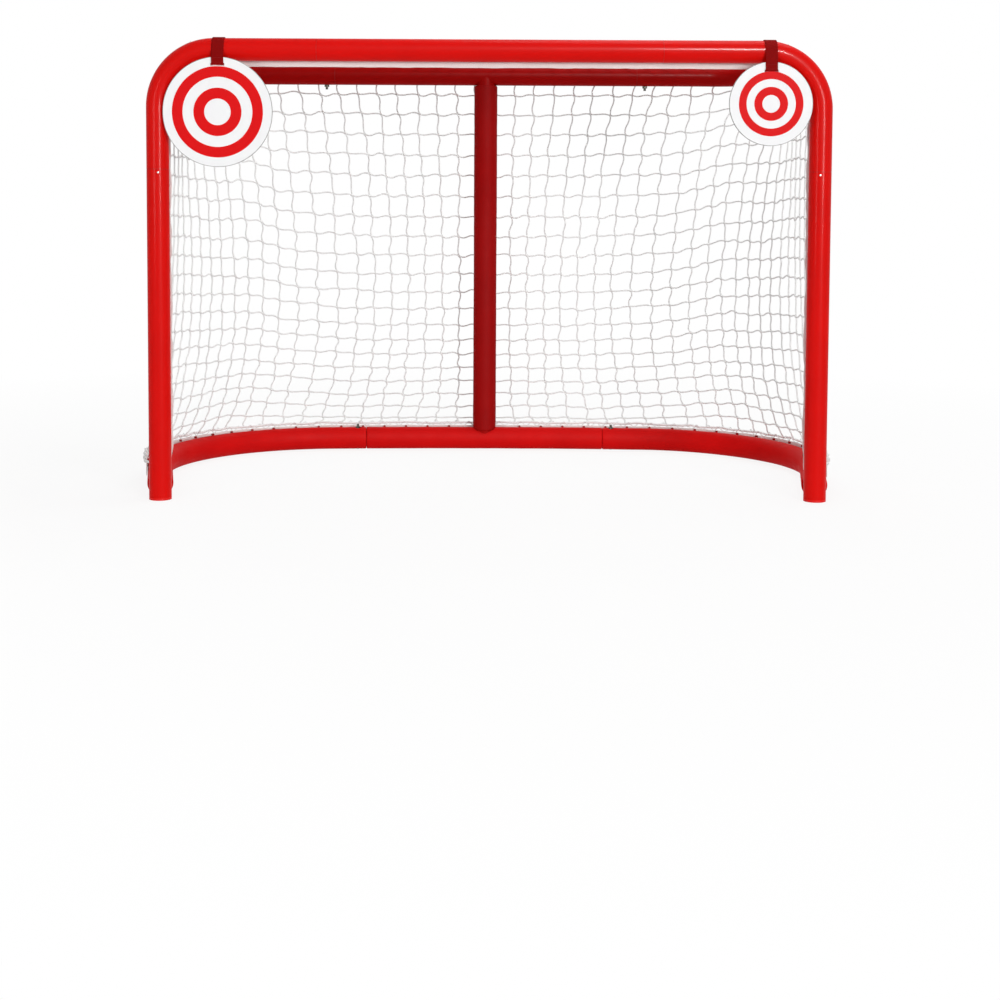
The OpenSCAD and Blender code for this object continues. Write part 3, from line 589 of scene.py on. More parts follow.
def foam_sheet(name, colour, centre, radius):
    """Cross-linked foam sheet: bright white skin, very fine pores, faint grey puck scuffs, and a grey
    line painted round its edge as the shade of the cut edge."""
    material, tree, shader, here = new_material(name, colour, Roughness=0.55, Specular_IOR_Level=0.06)
    drawn = add_node(tree, "Mapping", {"Vector": here, "Scale": (1, 1, 0.25)})
    streak = add_node(
        tree, "TexNoise", {"Vector": drawn, "Scale": 1000 / 16, "Detail": 3, "Roughness": 0.6}
    )
    streak = add_node(tree, "MapRange", {"Value": streak, "From Min": 0.62, "From Max": 0.75})
    struck = add_node(tree, "TexNoise", {"Vector": here, "Scale": 1000 / 70, "Detail": 1})
    struck = add_node(tree, "MapRange", {"Value": struck, "From Min": 0.5, "From Max": 0.65})
    scuff = add_node(tree, "Math", {0: streak, 1: struck}, operation="MULTIPLY")
    worn = add_node(tree, "Mix", {0: scuff, 6: colour, 7: shade(colour, 0.93)}, data_type="RGBA")
    # painted shade: the face turns grey within 1.9 mm of its edge, standing in for the shade on the cut edge
    flat = add_node(tree, "Mapping", {"Vector": here, "Scale": (1, 0, 1)})
    apart = add_node(tree, "VectorMath", {0: flat, 1: centre}, operation="DISTANCE")
    rim = add_node(
        tree, "MapRange", {"Value": apart, "From Min": (radius - 1.9) * MM, "From Max": (radius - 0.6) * MM}
    )
    base = add_node(tree, "Mix", {0: rim, 6: worn, 7: linear("#8E8C8A")}, data_type="RGBA")
    wire(shader, {"Base Color": base, "Normal": grained(tree, here, 1.4, 2, 0.06, 0.4)})
    return material


def seen_straight(tree):
    """1 for rays to the eye, from gloss or through glass, and nought for those that light things."""
    ray = add_node(tree, "LightPath").outputs
    seen = ray["Is Camera Ray"]
    for other in ("Is Glossy Ray", "Is Transmission Ray"):
        seen = add_node(tree, "Math", {0: seen, 1: ray[other]}, operation="MAXIMUM")
    return seen


def studio_white():
    """Matte white studio floor: what the eye sees of it is mostly plain white, all of it far out, and
    the rest keeps the object's shadow. It lights the goal as a pale grey floor does, and close in
    it also glows white, painted light from below."""
    material = bpy.data.materials.new("matte_studio_white")
    material.use_nodes = True
    tree = material.node_tree
    tree.nodes.clear()
    seen = seen_straight(tree)
    here = add_node(tree, "TexCoord").outputs["Object"]
    pale = clouded(tree, here, 900, 2, linear("#F6F6F5"), linear("#FAFAFA"))
    pale = add_node(tree, "Mix", {0: seen, 6: linear("#C8C8C8"), 7: pale}, data_type="RGBA")
    matte = add_node(tree, "BsdfDiffuse", {"Color": pale})
    white = add_node(tree, "Emission", {"Color": (1, 1, 1, 1), "Strength": 1.0})
    far = add_node(tree, "VectorMath", {0: here}, operation="LENGTH")
    plain = add_node(tree, "MapRange", {"Value": far, "From Min": 1.3, "From Max": 3.2, "To Min": 0.87})
    plain = add_node(tree, "Math", {0: seen, 1: plain}, operation="MULTIPLY")
    # painted light: near the goal the floor glows white for the rays that light the goal, brightening its
    # undersides
    painted_glow = add_node(tree, "MapRange", {"Value": far, "From Min": 2.2, "From Max": 0.8, "To Max": 0.32})
    unseen = add_node(tree, "Math", {0: 1.0, 1: seen}, operation="SUBTRACT")
    part = add_node(tree, "Math", {0: painted_glow, 1: unseen, 2: plain}, operation="MULTIPLY_ADD")
    both = add_node(tree, "MixShader", {0: part, 1: matte, 2: white})
    add_node(tree, "OutputMaterial", {"Surface": both})
    return material


def dress(nodes, material):
    """Gives CAD nodes a finish in their material slots."""
    for name in nodes:
        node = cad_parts[name]
        if not node.material_slots:
            node.data.materials.append(material)
        for slot in node.material_slots:
            slot.material = material


# ---------------------------------------------------------------- the net's cords
def cloth_table(rows, belly, sag):
    """Height share for each column place and row place. The rows lie at even distances along the
    cloth but a little closer low down. They sag towards the middle of the back by a power of a sine,
    and rise on the sides by another."""
    c = np.linspace(0, 1, 121)
    u = (c - COLUMN_CROWD * np.sin(np.pi * c))[:, None]
    h = np.linspace(0, 1, 161)
    x, y, z, _ = net_wall(u, h[None], belly)
    step = np.sqrt(np.diff(x) ** 2 + np.diff(y) ** 2 + np.diff(z) ** 2)
    far = np.concatenate([np.zeros((len(c), 1)), np.cumsum(step, 1)], 1)
    r = np.linspace(0, 1, rows * 2 + 1)
    spread = r - ROW_CROWD * np.sin(np.pi * r) * (1 - r)
    even = np.stack([np.interp(spread * line[-1], line, h) for line in far])
    low = sag / (BAR_Z - BASE_Z) * np.sin(np.pi * r) ** 1.5
    high = SIDE_RISE / (BAR_Z - BASE_Z) * np.sin(np.pi * r)
    middle = np.sin(np.pi / 2 * np.minimum(1, 1.2 * u)) ** 2
    side = np.sin(np.pi * np.minimum(1, u / 0.6)) ** 2
    return even - low * middle + high * side


def cloth(table, columns, rows, belly, side, c, r, lift=0.0):
    """Row frame point of the net at column place c and row place r, moved outwards by lift. side is
    -1 on the left and 1 on the right. Also returns the outward direction."""
    c, r = np.broadcast_arrays(np.asarray(c, float), np.asarray(r, float))
    share = np.clip(np.where(c > columns, 2 * columns - c, c) / columns, 0, 1) * (table.shape[0] - 1)
    row = np.clip(r / rows, 0, 1) * (table.shape[1] - 1)
    i = np.minimum(share.astype(int), table.shape[0] - 2)
    j = np.minimum(row.astype(int), table.shape[1] - 2)
    near = mix(table[i, j], table[i, j + 1], row - j)
    far = mix(table[i + 1, j], table[i + 1, j + 1], row - j)
    at = c / columns
    x, y, z, angle = net_wall(at - COLUMN_CROWD * np.sin(np.pi * at), mix(near, far, share - i), belly)
    out = np.stack([side * np.cos(angle), np.sin(angle), np.zeros_like(angle)], -1)
    return place(side * (x + lift * np.cos(angle)), y + lift * np.sin(angle), z), out


def knots(columns, rows, rng):
    """Places of the knots on the left and right halves in columns and rows, each a little off the
    even grid and more so near the posts and low corners. Knots past the middle are the other half's."""
    halves = []
    k = np.arange(rows + 1.0)
    i = np.arange(columns + 0.0) + 0.5
    for near_post in (0.04, 0.065):
        loose = 0.032 + near_post * np.exp(-i / 3.5)[:, None] + 0.035 * np.exp(-k / 3.0)[None]
        place_c = i[:, None] + rng.normal(0, 1, loose.shape) * loose
        place_r = k[None] + rng.normal(0, 1, loose.shape) * loose
        place_r[:, 0], place_r[:, -1] = 0, rows
        halves.append((place_c, place_r))
    full = []
    for own, other in (halves, halves[::-1]):
        c = np.concatenate([own[0][:1] * 0 - 0.5, own[0], 2 * columns - other[0][-1:]])
        r = np.concatenate([own[1][:1], own[1], other[1][-1:]])
        full.append((c, r))
    return full


def wave_along(start, end, share, swing=0.0, bulge=0.0):
    """Between two knots a cord swings one way and then the other, as a whole sine, and bows by half
    a sine."""
    return mix(start, end, share) + swing * np.sin(2 * np.pi * share) + bulge * np.sin(np.pi * share)


def over_rail(side, at):
    """Ends of the upright cords round the top rail's outside, on a quarter circle about its axis from
    low outside to the crown. Returns the points and the outward directions."""
    radius = WRAP_R + CORD_APART
    over = np.radians(np.linspace(9, 84, 9))
    s = mix(NET_SIDE_Y, top_plan(0.0)[3], at)[:, None] + 0 * over
    x, y, angle, _ = top_plan(s)
    reach = radius * np.cos(over)
    x, y = x + reach * np.cos(angle), y + reach * np.sin(angle)
    level = np.stack([side * np.cos(angle), np.sin(angle)]) * np.cos(over)
    out = np.stack([*level, np.broadcast_to(np.sin(over), angle.shape)], -1)
    return place(side * x, y, top_z(y) + radius * np.sin(over)), out


def net_half(side, grid, table, net, rng, detail=8):
    """All cords of one half of the net wall and their knots."""
    columns, rows, belly = net.columns, net.rows, net.belly / MM
    knot_c, knot_r = grid
    radius = net.cord / 2
    # uprights, from the base rope to the top rail, and on over it
    r = np.linspace(0, rows, rows * detail + 1)
    k = np.minimum(r.astype(int), rows - 1)
    share = r - k
    swing = side * net.wave * rng.uniform(0.5, 1.45, (columns, rows))[:, k]
    bulge = rng.normal(0, 0.028, (columns, rows))[:, k]
    bulge_r = rng.normal(0, 0.01, (columns, rows))[:, k]
    c = wave_along(knot_c[1:-1][:, k], knot_c[1:-1][:, k + 1], share, swing, bulge)
    r = wave_along(knot_r[1:-1][:, k], knot_r[1:-1][:, k + 1], share, bulge=bulge_r)
    paths, out = cloth(table, columns, rows, belly, side, c, r, CORD_APART)
    at = knot_c[1:-1, -1] / columns
    fold, fold_out = over_rail(side, at - COLUMN_CROWD * np.sin(np.pi * at))
    paths, out = np.concatenate([paths, fold], 1), np.concatenate([out, fold_out], 1)
    uprights = sweep(paths, out, circle(radius, 5))
    # rows, from the post's hem to the middle of the back
    c = np.linspace(0, columns, columns * detail + 1)
    i = np.floor(c + 0.5).astype(int)
    share = (c + 0.5 - i)[:, None]
    i = np.minimum(i, columns)
    swing = side * net.wave * rng.uniform(0.5, 1.45, (columns + 1, rows + 1))[i]
    swing = swing * np.clip(1.25 - 0.5 * np.exp(-np.arange(rows + 1) / 2.0), 0, 1)[None]
    bulge = rng.normal(0, 0.022, (columns + 1, rows + 1))
    bulge[-1] = 0
    inner = slice(1, rows)
    r = wave_along(knot_r[i], knot_r[i + 1], share, swing, bulge[i])[:, inner].T
    c = wave_along(knot_c[i], knot_c[i + 1], share)[:, inner].T
    paths, out = cloth(table, columns, rows, belly, side, c, r, -CORD_APART)
    level = sweep(paths, out, circle(radius, 5))
    # a flat knot at each crossing, drawn out along the cords' slant
    at, out = cloth(table, columns, rows, belly, side, knot_c[1:-1, inner], knot_r[1:-1, inner])
    at, out = at.reshape(-1, 3), out.reshape(-1, 3)
    slant = unit(np.cross(out, UP) * 0.55 + 0.8 * UP)
    reach = radius * np.array([-1.9, -1.2, 0, 1.2, 1.9])
    fat = radius * np.array([0.35, 1.25, 1.62, 1.25, 0.35])
    paths = at[:, None] + slant[:, None] * reach[:, None]
    ring = circle(1.0, 6)[None] * fat[:, None, None]
    lumps = sweep(paths, np.broadcast_to(out[:, None], paths.shape), ring)
    return joined([uprights, level, lumps])


def roof_at(u, v):
    """Roof of the net: u from -1 to 1 across and v from the crossbar to the back rail. It spans the
    top rail at the sides and back and drops to the crossbar's hem with the square of the way there.
    It hangs by a sine of the way back."""
    y = mix(TUBE_R + 6.5, REAR - ROOF_IN, v)
    cx, cy = TOP_REACH - TOP_CORNER_R, REAR - TOP_CORNER_R
    side = math.atan2(-cy, TOP_X - cx) + math.acos(TOP_CORNER_R / math.hypot(TOP_X - cx, cy))
    touch_x, touch_y = cx + TOP_CORNER_R * math.cos(side), cy + TOP_CORNER_R * math.sin(side)
    corner = cx + np.sqrt(np.maximum(TOP_CORNER_R**2 - (y - cy) ** 2, 0))
    half = np.where(y < touch_y, mix(TOP_X, touch_x, y / touch_y), corner) - ROOF_IN
    high = top_z(y) + WRAP_R
    drop = (high - (BAR_Z - ROOF_HEM)) * (1 - v) ** 2 * (1 - u**4)
    hang = ROOF_HANG * np.sin(np.pi * np.clip(v, 0, 1)) * (1 - u**2)
    return place(u * half, y, high - drop - hang)


def roof_cords(net, rng, detail=6):
    """Cords of the roof in both ways, the lengthways ones in line with those of the back. They swing
    between crossings by a whole sine."""
    mesh_u = ROOF_MESH / (TOP_REACH - ROOF_IN)
    right = (np.arange(12) + 0.5) * mesh_u
    lines = np.concatenate([-right[::-1], right])
    lines = lines[np.abs(lines) < 0.99]
    v = np.linspace(0, 1, ROOF_DEEP * detail + 1)
    k = np.minimum((v * ROOF_DEEP).astype(int), ROOF_DEEP - 1)
    share = v * ROOF_DEEP - k
    wobble = rng.normal(0, 0.0035, (len(lines), ROOF_DEEP + 1))
    swing = net.wave * mesh_u * rng.uniform(0.5, 1.4, (len(lines), ROOF_DEEP))[:, k]
    u = lines[:, None] + wave_along(wobble[:, k], wobble[:, k + 1], share, swing)
    long = sweep(roof_at(u, v[None]), UP, circle(net.cord / 2, 5))
    cells = len(lines) + 1
    edge = np.linspace(-1, 1, cells * detail + 1)
    cell = (edge + 1) / 2 * cells
    swing = net.wave / ROOF_DEEP * rng.uniform(0.5, 1.4, (ROOF_DEEP - 1, cells + 1))[:, cell.astype(int)]
    v = (np.arange(1, ROOF_DEEP) / ROOF_DEEP)[:, None] + swing * np.sin(2 * np.pi * cell)
    wide = sweep(roof_at(edge[None], v), UP, circle(net.cord / 2, 5))
    return joined([long, wide])


# ---------------------------------------------------------------- operators
class GOAL_OT_stage(bpy.types.Operator):
    """Adds the camera, the pale floor, the soft lights and the white surroundings"""

    bl_idname = "hockey_goal.stage"
    bl_label = "Stage"

    def execute(self, context):
        settings = context.scene.hockey_goal_stage
        context.scene.view_settings.view_transform = "Standard"
        self.camera(context.scene, settings.lens)
        self.lights(context.scene, settings)
        self.surroundings(context.scene, settings.sky)
        rim = circle(FLOOR_R, 96)
        rim = np.column_stack([rim, np.full(len(rim), FLOOR_Z)])
        floor = bpy.data.meshes.new("pale_floor")
        floor.from_pydata(rim.tolist(), [], [list(range(len(rim)))])
        floor.materials.append(studio_white())
        ground = bpy.data.objects.new("pale_floor", floor)
        context.scene.collection.objects.link(ground)
        return {"FINISHED"}

    def camera(self, scene, lens):
        """Stands 4.3 m in front of the posts at chest height and looks a little down."""
        camera = bpy.data.cameras.new("goal_camera")
        camera.lens, camera.sensor_width = lens, 36
        camera.shift_x, camera.shift_y = EYE_SHIFT
        camera.clip_start, camera.clip_end = 0.1, 200
        eye = bpy.data.objects.new("goal_camera", camera)
        eye.location = EYE
        eye.rotation_euler = Euler([math.radians(angle) for angle in EYE_TURN], "XYZ")
        scene.collection.objects.link(eye)
        scene.camera = eye

    def lights(self, scene, settings):
        """Soft round lamps, each turned to the middle of the goal: place, size and power. The glint
        light shows in gloss alone."""
        lamps = {
            "key_light": ((3.6, -7.8, 1.5), 1.8, settings.key),
            "fill_light": ((-2.4, -3.7, 1.1), 1.2, settings.fill),
            "top_light": ((0.9, 0.1, 3.4), 2.2, settings.top),
            "glint_light": ((1.9, -6.0, 3.4), 1.5, settings.glint),
            "back_light": ((0.4, 4.2, 2.4), 2.2, settings.fill * 1.1),
        }
        for name, (at, size, power) in lamps.items():
            lamp = bpy.data.lights.new(name, "AREA")
            lamp.shape, lamp.size, lamp.energy = "DISK", size, power
            held = bpy.data.objects.new(name, lamp)
            held.location = at
            held.visible_diffuse = name != "glint_light"
            held.rotation_euler = (LAMPS_AIM - Vector(at)).to_track_quat("-Z", "Y").to_euler()
            scene.collection.objects.link(held)

    def surroundings(self, scene, strength):
        """White where they are seen, and as strong as the setting where they light the goal."""
        world = bpy.data.worlds.new("pale_surroundings")
        scene.world = world
        world.use_nodes = True
        tree = world.node_tree
        tree.nodes.clear()
        power = add_node(tree, "MapRange", {"Value": seen_straight(tree), "To Min": strength})
        sky = add_node(tree, "Background", {"Color": (1, 1, 1, 1), "Strength": power})
        add_node(tree, "OutputWorld", {"Surface": sky})


class GOAL_OT_frame(bpy.types.Operator):
    """Paints the tubes, rails and sockets, plates the sleeves and blackens the fasteners"""

    bl_idname = "hockey_goal.frame"
    bl_label = "Frame finishes"

    def execute(self, context):
        paint = context.scene.hockey_goal_paint
        front = powder_coat("powder_coat_red", (*paint.front, 1.0), paint.gloss, 0.085)
        # painted shade: the rear frame's coat is the front's red made darker, standing in for the shade the
        # rear lies in
        rear = powder_coat("powder_coat_red_painted_shade", (*paint.rear, 1.0), paint.gloss, 0.008)
        dress(["crossbar_tube", "corner_tube_left", "corner_tube_right", "post_left", "post_right"], front)
        dress([f"{rail}_socket_{side}" for rail in ("top", "base") for side in ("left", "right")], rear)
        thirds = ("left", "centre", "right")
        dress([f"{rail}_rail_{third}" for rail in ("top", "base") for third in thirds], rear)
        dress(["centre_post"], rear)
        joints = ("crossbar", "post", "top_rail", "base_rail", "top_socket", "base_socket")
        dress([joint + "_sleeves" for joint in joints] + ["front_weld_nuts"], plated_steel())
        fasteners = ["front_bolts", "top_rail_bolts", "top_rail_nuts", "base_rail_bolts", "base_rail_nuts"]
        dress(fasteners, black_oxide())
        caps = moulded_plastic("moulded_polyethylene_red", linear("#D8100A"))
        dress(["foot_cap_left", "foot_cap_right"], caps)
        pegs = moulded_plastic("moulded_polyethylene_deep_red", linear("#8E0B08"))
        dress(["base_net_pegs", "post_net_pegs", "crossbar_net_pegs"], pegs)
        buttons = joined([self.button(side) for side in SIDES])
        new_piece("post_spring_buttons", buttons, polished_steel())
        return {"FINISHED"}

    def button(self, side):
        """Spring button on a post's front, under the seam and turned a little inwards: a low dome, a
        circle turned about the line straight out of the tube, its foot sunk into the tube."""
        rise = np.array([-1.5, 0.5, 1.2, 1.9, 2.3])
        wide = np.array([3.1, 3.1, 2.8, 1.9, 0.5]) * MM
        out = TUBE_R + rise
        x = side * (POST_X - out * math.sin(BUTTON_TURN))
        path = place(x, -out * math.cos(BUTTON_TURN), BUTTON_Z)
        ring = circle(1.0, 20)[None] * wide[:, None, None]
        return sweep(path[None], UP, ring[None])


class GOAL_OT_pads(bpy.types.Operator):
    """Makes the foam sleeves in their vinyl covers on the base rail and the centre post"""

    bl_idname = "hockey_goal.pads"
    bl_label = "Rail pads"

    def execute(self, context):
        pads = context.scene.hockey_goal_pads
        cover = vinyl_cover("coated_vinyl_red", (*pads.colour, 1.0))
        # painted shade: the centre post's cover is a darker copy of the base covers' vinyl
        post_cover_painted_shade = vinyl_cover("coated_vinyl_red_painted_shade", (*pads.post, 1.0))
        rng = np.random.default_rng(SEED)
        length = float(base_plan(0.0)[3])
        seam = length - BASE_SEAM
        bolts = [SIDE_BOLT, seam - SEAM_BOLT]
        shapes = {
            "base_pad_left": self.sleeve(-1, PAD_START, seam - SEAM_GAP, bolts, pads, rng),
            "base_pad_right": self.sleeve(1, PAD_START, seam - SEAM_GAP, bolts, pads, rng),
            "base_pad_centre": self.sleeve(
                1, seam + SEAM_GAP, length + BASE_SEAM - SEAM_GAP, [], pads, rng
            ),
            "centre_post_pad": self.post_sleeve(pads, rng),
        }
        for name, shape in shapes.items():
            vinyl = cover if name.startswith("base") else post_cover_painted_shade
            piece = new_piece(name + "_cover", shape, vinyl)
            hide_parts(name)
        return {"FINISHED"}

    def sleeve(self, side, start, end, holes, pads, rng):
        """Foam sleeve round the base rail. Its radius is the pad's, less a groove along the cover's
        seam, plus slow swells and fine creases that fade at the ends, where it turns in to the rail
        by a quarter circle; round each bolt it dips to the rail as a smooth step of distance."""
        s = np.arange(start, end, 7.0)
        near = [np.linspace(hole - 14, hole + 14, 19) for hole in holes]
        ends = np.array([0, 0.4, 1.2, 2.4, TURN_IN])
        s = np.unique(np.concatenate([s[(s > start + 6) & (s < end - 6)], *near, start + ends, end - ends]))
        s = s[np.concatenate([[True], np.diff(s) > 0.25])]
        turn = np.arange(PAD_CORNERS) / PAD_CORNERS * 2 * np.pi
        turned_in, grown = self.ends(np.minimum(s - start, end - s))
        swell = smooth_noise(len(s), 12, rng)[:, None] * 0.5 * np.cos(turn + 1.2) * grown
        crease = np.sin(s[:, None] / 9.5 + 2.5 * np.sin(2 * turn)) * smooth_noise(len(s), 5, rng)[:, None]
        crease = crease * pads.wrinkle / MM * 0.5 * (0.4 + 0.6 * np.cos(turn - np.pi) ** 2) * grown
        seam = self.seam(turn, 322, GROOVE)
        radius = PAD_R - SLACK - 3.6 * turned_in + pads.crown / MM * (swell + crease) - 0.9 * seam
        radius = np.minimum(radius, PAD_R)
        for hole in holes:
            for up in (np.pi / 2, 3 * np.pi / 2):
                round_it = (np.mod(turn - up + np.pi, 2 * np.pi) - np.pi) * HOLE_LEVEL
                far = np.hypot((s - hole)[:, None], round_it)
                dip = smooth(np.clip((far - HOLE_R) / HOLE_SLOPE, 0, 1))
                radius = mix(TUBE_R + 0.35, radius, dip)
        radius = np.concatenate([radius, np.full(radius.shape, TUBE_R + SKIN)])
        s = np.concatenate([s, s[::-1]])
        points = beside(side, s[:, None], radius * np.cos(turn), BASE_Z + radius * np.sin(turn))
        return self.closed_grid(points, s, side < 0)

    def post_sleeve(self, pads, rng):
        """Foam sleeve up the centre post: a circle with a flat back, its lower rim saddled over the
        base pad, with a sewn seam at each side of the flat and soft swells between."""
        turn = np.arange(PAD_CORNERS) / PAD_CORNERS * 2 * np.pi
        to_flat = np.where(np.sin(turn) > 0, POST_PAD_FLAT / np.maximum(np.sin(turn), 1e-6), np.inf)
        flat = np.minimum(POST_PAD_R, to_flat)
        near = np.array([0.0003, 0.001, 0.002, 0.0035])
        t = np.unique(np.concatenate([np.linspace(0, 1, 150), near, 1 - near]))
        turned_in, grown = self.ends(np.minimum(t, 1 - t) * POST_PAD_LONG)
        swell = smooth_noise(len(t), 14, rng)[:, None] * 0.5 * np.cos(turn * 2 + 0.7) * grown
        crease = np.sin(t[:, None] * 90 + 2.2 * np.sin(turn)) * smooth_noise(len(t), 4, rng)[:, None]
        seams = [self.seam(turn, degrees, POST_GROOVE) for degrees in (42, 138)]
        radius = flat - POST_SLACK - 3.4 * turned_in + pads.crown / MM * swell + 0.25 * crease * grown
        radius = np.minimum(radius - 0.8 * sum(seams), flat)
        radius = np.concatenate([radius, np.full(radius.shape, TUBE_R + SKIN)])
        t = np.concatenate([t, t[::-1]])
        dy = radius * np.sin(turn)
        saddle = np.sqrt(np.maximum(SADDLE_R**2 - dy**2, 0)) + 0.4
        z = mix(BASE_Z + np.maximum(saddle, SADDLE_LOW), BAR_Z - TUBE_R - 1.2, t[:, None])
        points = place(radius * np.cos(turn), REAR + dy, z)
        return self.closed_grid(points, t * POST_PAD_LONG, True)

    def seam(self, turn, degrees, sharp):
        """Depth share of a sewn groove along a sleeve: a bell curve of the way round from it."""
        return np.exp(-(((turn - np.radians(degrees)) * sharp) ** 2))

    def ends(self, far):
        """How far a sleeve has turned in to its tube, a quarter circle of the distance from its end,
        and how much of its swells has grown there."""
        fall = np.clip(1 - far / TURN_IN, 0, 1)
        return (1 - np.sqrt(1 - fall**2))[:, None], np.minimum(1, far / GROWN)[:, None]

    def closed_grid(self, points, along, flip):
        """Faces of a grid that closes both ways, round the sleeve and from outer to inner skin."""
        n, k = points.shape[:2]
        i, j = np.meshgrid(np.arange(n), np.arange(k), indexing="ij")
        i2, j2 = (i + 1) % n, (j + 1) % k
        order = ((i, j), (i, j2), (i2, j2), (i2, j)) if flip else ((i, j), (i2, j), (i2, j2), (i, j2))
        quads = np.stack([a * k + b for a, b in order], -1).reshape(-1, 4)
        uv = np.stack([np.stack([b / k, along[a] * MM], -1) for a, b in order], -2).reshape(-1, 2)
        return points.reshape(-1, 3), [quads], uv


class GOAL_OT_hems(bpy.types.Operator):
    """Makes the webbing hems that hold the net to the crossbar, the posts and the base rail"""

    bl_idname = "hockey_goal.hems"
    bl_label = "Hems"

    def execute(self, context):
        webbing = woven_webbing("polyester_webbing_white", linear("#EFE8E6"), 2.6, 38)
        rng = np.random.default_rng(SEED + 1)
        lo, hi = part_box("crossbar_hem")
        x = np.linspace(lo.x, hi.x, 260)
        y = (lo.y + hi.y) / 2 + 0.0002 * smooth_noise(len(x), 6, rng)
        z = (lo.z + hi.z) / 2 - 0.0012 * np.abs(smooth_noise(len(x), 9, rng))
        piece = self.hem("crossbar_hem", np.stack([x, y, z], -1), UP, hi.z - lo.z - 0.0012, webbing)
        for name, side in (("left", -1), ("right", 1)):
            lo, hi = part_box("post_hem_" + name)
            z = np.linspace(lo.z, hi.z, 180)
            tucked = smooth(np.clip((HEM_TUCK - z) / 0.03, 0, 1))  # its foot turns behind the post
            inward = 0.0022 * smooth_noise(len(z), 5, rng) + 0.0014 - 0.0045 * tucked
            path = np.stack([(lo.x + hi.x) / 2 - side * inward, np.full_like(z, (lo.y + hi.y) / 2), z], -1)
            piece = self.hem("post_hem_" + name, path, ACROSS, hi.x - lo.x, webbing)
        for name, side in (("left", -1), ("right", 1)):
            lo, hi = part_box("base_hem_" + name)
            s = np.linspace(HEM_START, float(base_plan(0.0)[3]) - 0.5, 320)
            out = HEM_OUT + 0.35 * smooth_noise(len(s), 7, rng)
            z = (lo.z + hi.z) / 2 / MM + 0.8 * smooth_noise(len(s), 6, rng)
            piece = self.hem("base_hem_" + name, beside(side, s, out, z), UP, HEM_WIDE, webbing)
        return {"FINISHED"}

    def hem(self, name, path, across, width, webbing):
        """A band of webbing along a path, in the place of the hem's solid."""
        band = sweep(path[None], across, rounded_band(width, HEM_THICK))
        piece = new_piece(name + "_webbing", band, webbing)
        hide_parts(name)
        return piece


class GOAL_OT_net(bpy.types.Operator):
    """Knits the back and side walls of the net and its roof from waved cords and knots"""

    bl_idname = "hockey_goal.net"
    bl_label = "Net"

    def execute(self, context):
        net = context.scene.hockey_goal_net
        cord = braided_cord("braided_polyester_cord", (*net.colour, 1.0), 5.0, 2)
        rng = np.random.default_rng(SEED + 2)
        table = cloth_table(net.rows, net.belly / MM, net.sag / MM)
        grids = knots(net.columns, net.rows, rng)
        for side, name, grid in zip(SIDES, ("left", "right"), grids):
            shape = net_half(side, grid, table, net, rng)
            piece = new_piece(f"net_wall_{name}_cords", shape, cord)
            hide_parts(f"net_side_{name}", f"net_corner_{name}", f"net_back_{name}")
        roof = new_piece("net_roof_cords", roof_cords(net, rng), cord)
        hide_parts("net_roof")
        return {"FINISHED"}


class GOAL_OT_ropes(bpy.types.Operator):
    """Lays the border ropes along the base, the posts and the top rail, and the lacing round them"""

    bl_idname = "hockey_goal.ropes"
    bl_label = "Border ropes and lacing"

    def execute(self, context):
        net = context.scene.hockey_goal_net
        twist = braided_cord("laid_polyester_rope", shade((*net.colour, 1.0), 1.05), 9.0, 3)
        rng = np.random.default_rng(SEED + 3)
        radius = net.rope / 2
        ropes = {
            "base_border_rope": self.base_rope,
            "top_border_rope": self.top_rope,
            "post_border_ropes": self.post_rope,
            "base_lacing": self.lacing,
        }
        for name, rope in ropes.items():
            shape = joined([rope(side, radius, rng) for side in SIDES])
            new_piece(name, shape, twist)
        return {"FINISHED"}

    def base_rope(self, side, radius, rng):
        """Beside the base rail from the post to the middle: it starts behind the post as the net
        does, comes out within a twelfth of its way, and waves up and down."""
        s = np.linspace(ROPE_START, base_plan(0.0)[3], 420)
        z = mix(ROPE_LOW, ROPE_HIGH, 0.5 + 0.5 * smooth_noise(len(s), 9, rng))
        near = np.clip(12 * (s - NET_SIDE_Y) / (s[-1] - NET_SIDE_Y), 0, 1)
        off = mix(NET_BEHIND, ROPE_OUT, near) + 1.2 * smooth_noise(len(s), 13, rng)
        angle = base_plan(s)[2]
        out = np.stack([side * np.cos(angle), np.sin(angle), 0 * angle], -1)
        return sweep(beside(side, s, off, z)[None], out[None], circle(radius, 8))

    def top_rope(self, side, radius, rng):
        """Along the top rail, on its crown."""
        s = np.linspace(30, float(top_plan(0.0)[3]), 300)
        x, y, angle, _ = top_plan(s)
        off = 2.0 + smooth_noise(len(s), 8, rng)
        path = place(side * (x + off * np.cos(angle)), y + off * np.sin(angle), top_z(y) + TUBE_R + 3.9)
        return sweep(path[None], UP, circle(radius, 8))

    def post_rope(self, side, radius, rng):
        """Up behind a post, from the base rope to the bend and round to the top rail."""
        h = np.linspace(0, 1, 260)
        x, y, z, _ = net_wall(np.zeros_like(h), h, 0.0)
        path = place(side * (x + 0.8 * smooth_noise(len(h), 6, rng)), y + 0.6, z)
        return sweep(path[None], BACK, circle(radius * 0.8, 8))

    def lacing(self, side, radius, rng):
        """A thin cord wound round the base rope and through the hem: a turn every pitch, a cosine in
        and out and a power of a sine up and down."""
        s = np.linspace(LACE_START, float(base_plan(0.0)[3]) - 4, 1500)
        turns = s / LACE_PITCH * 2 * np.pi
        out = ROPE_OUT + 5.0 * np.cos(turns)
        z = LACE_HIGH - LACE_DEEP * np.abs(np.sin(turns)) ** 1.4 + 0.6 * smooth_noise(len(s), 40, rng)
        return sweep(beside(side, s, out, z)[None], UP, circle(LACE_R, 5))


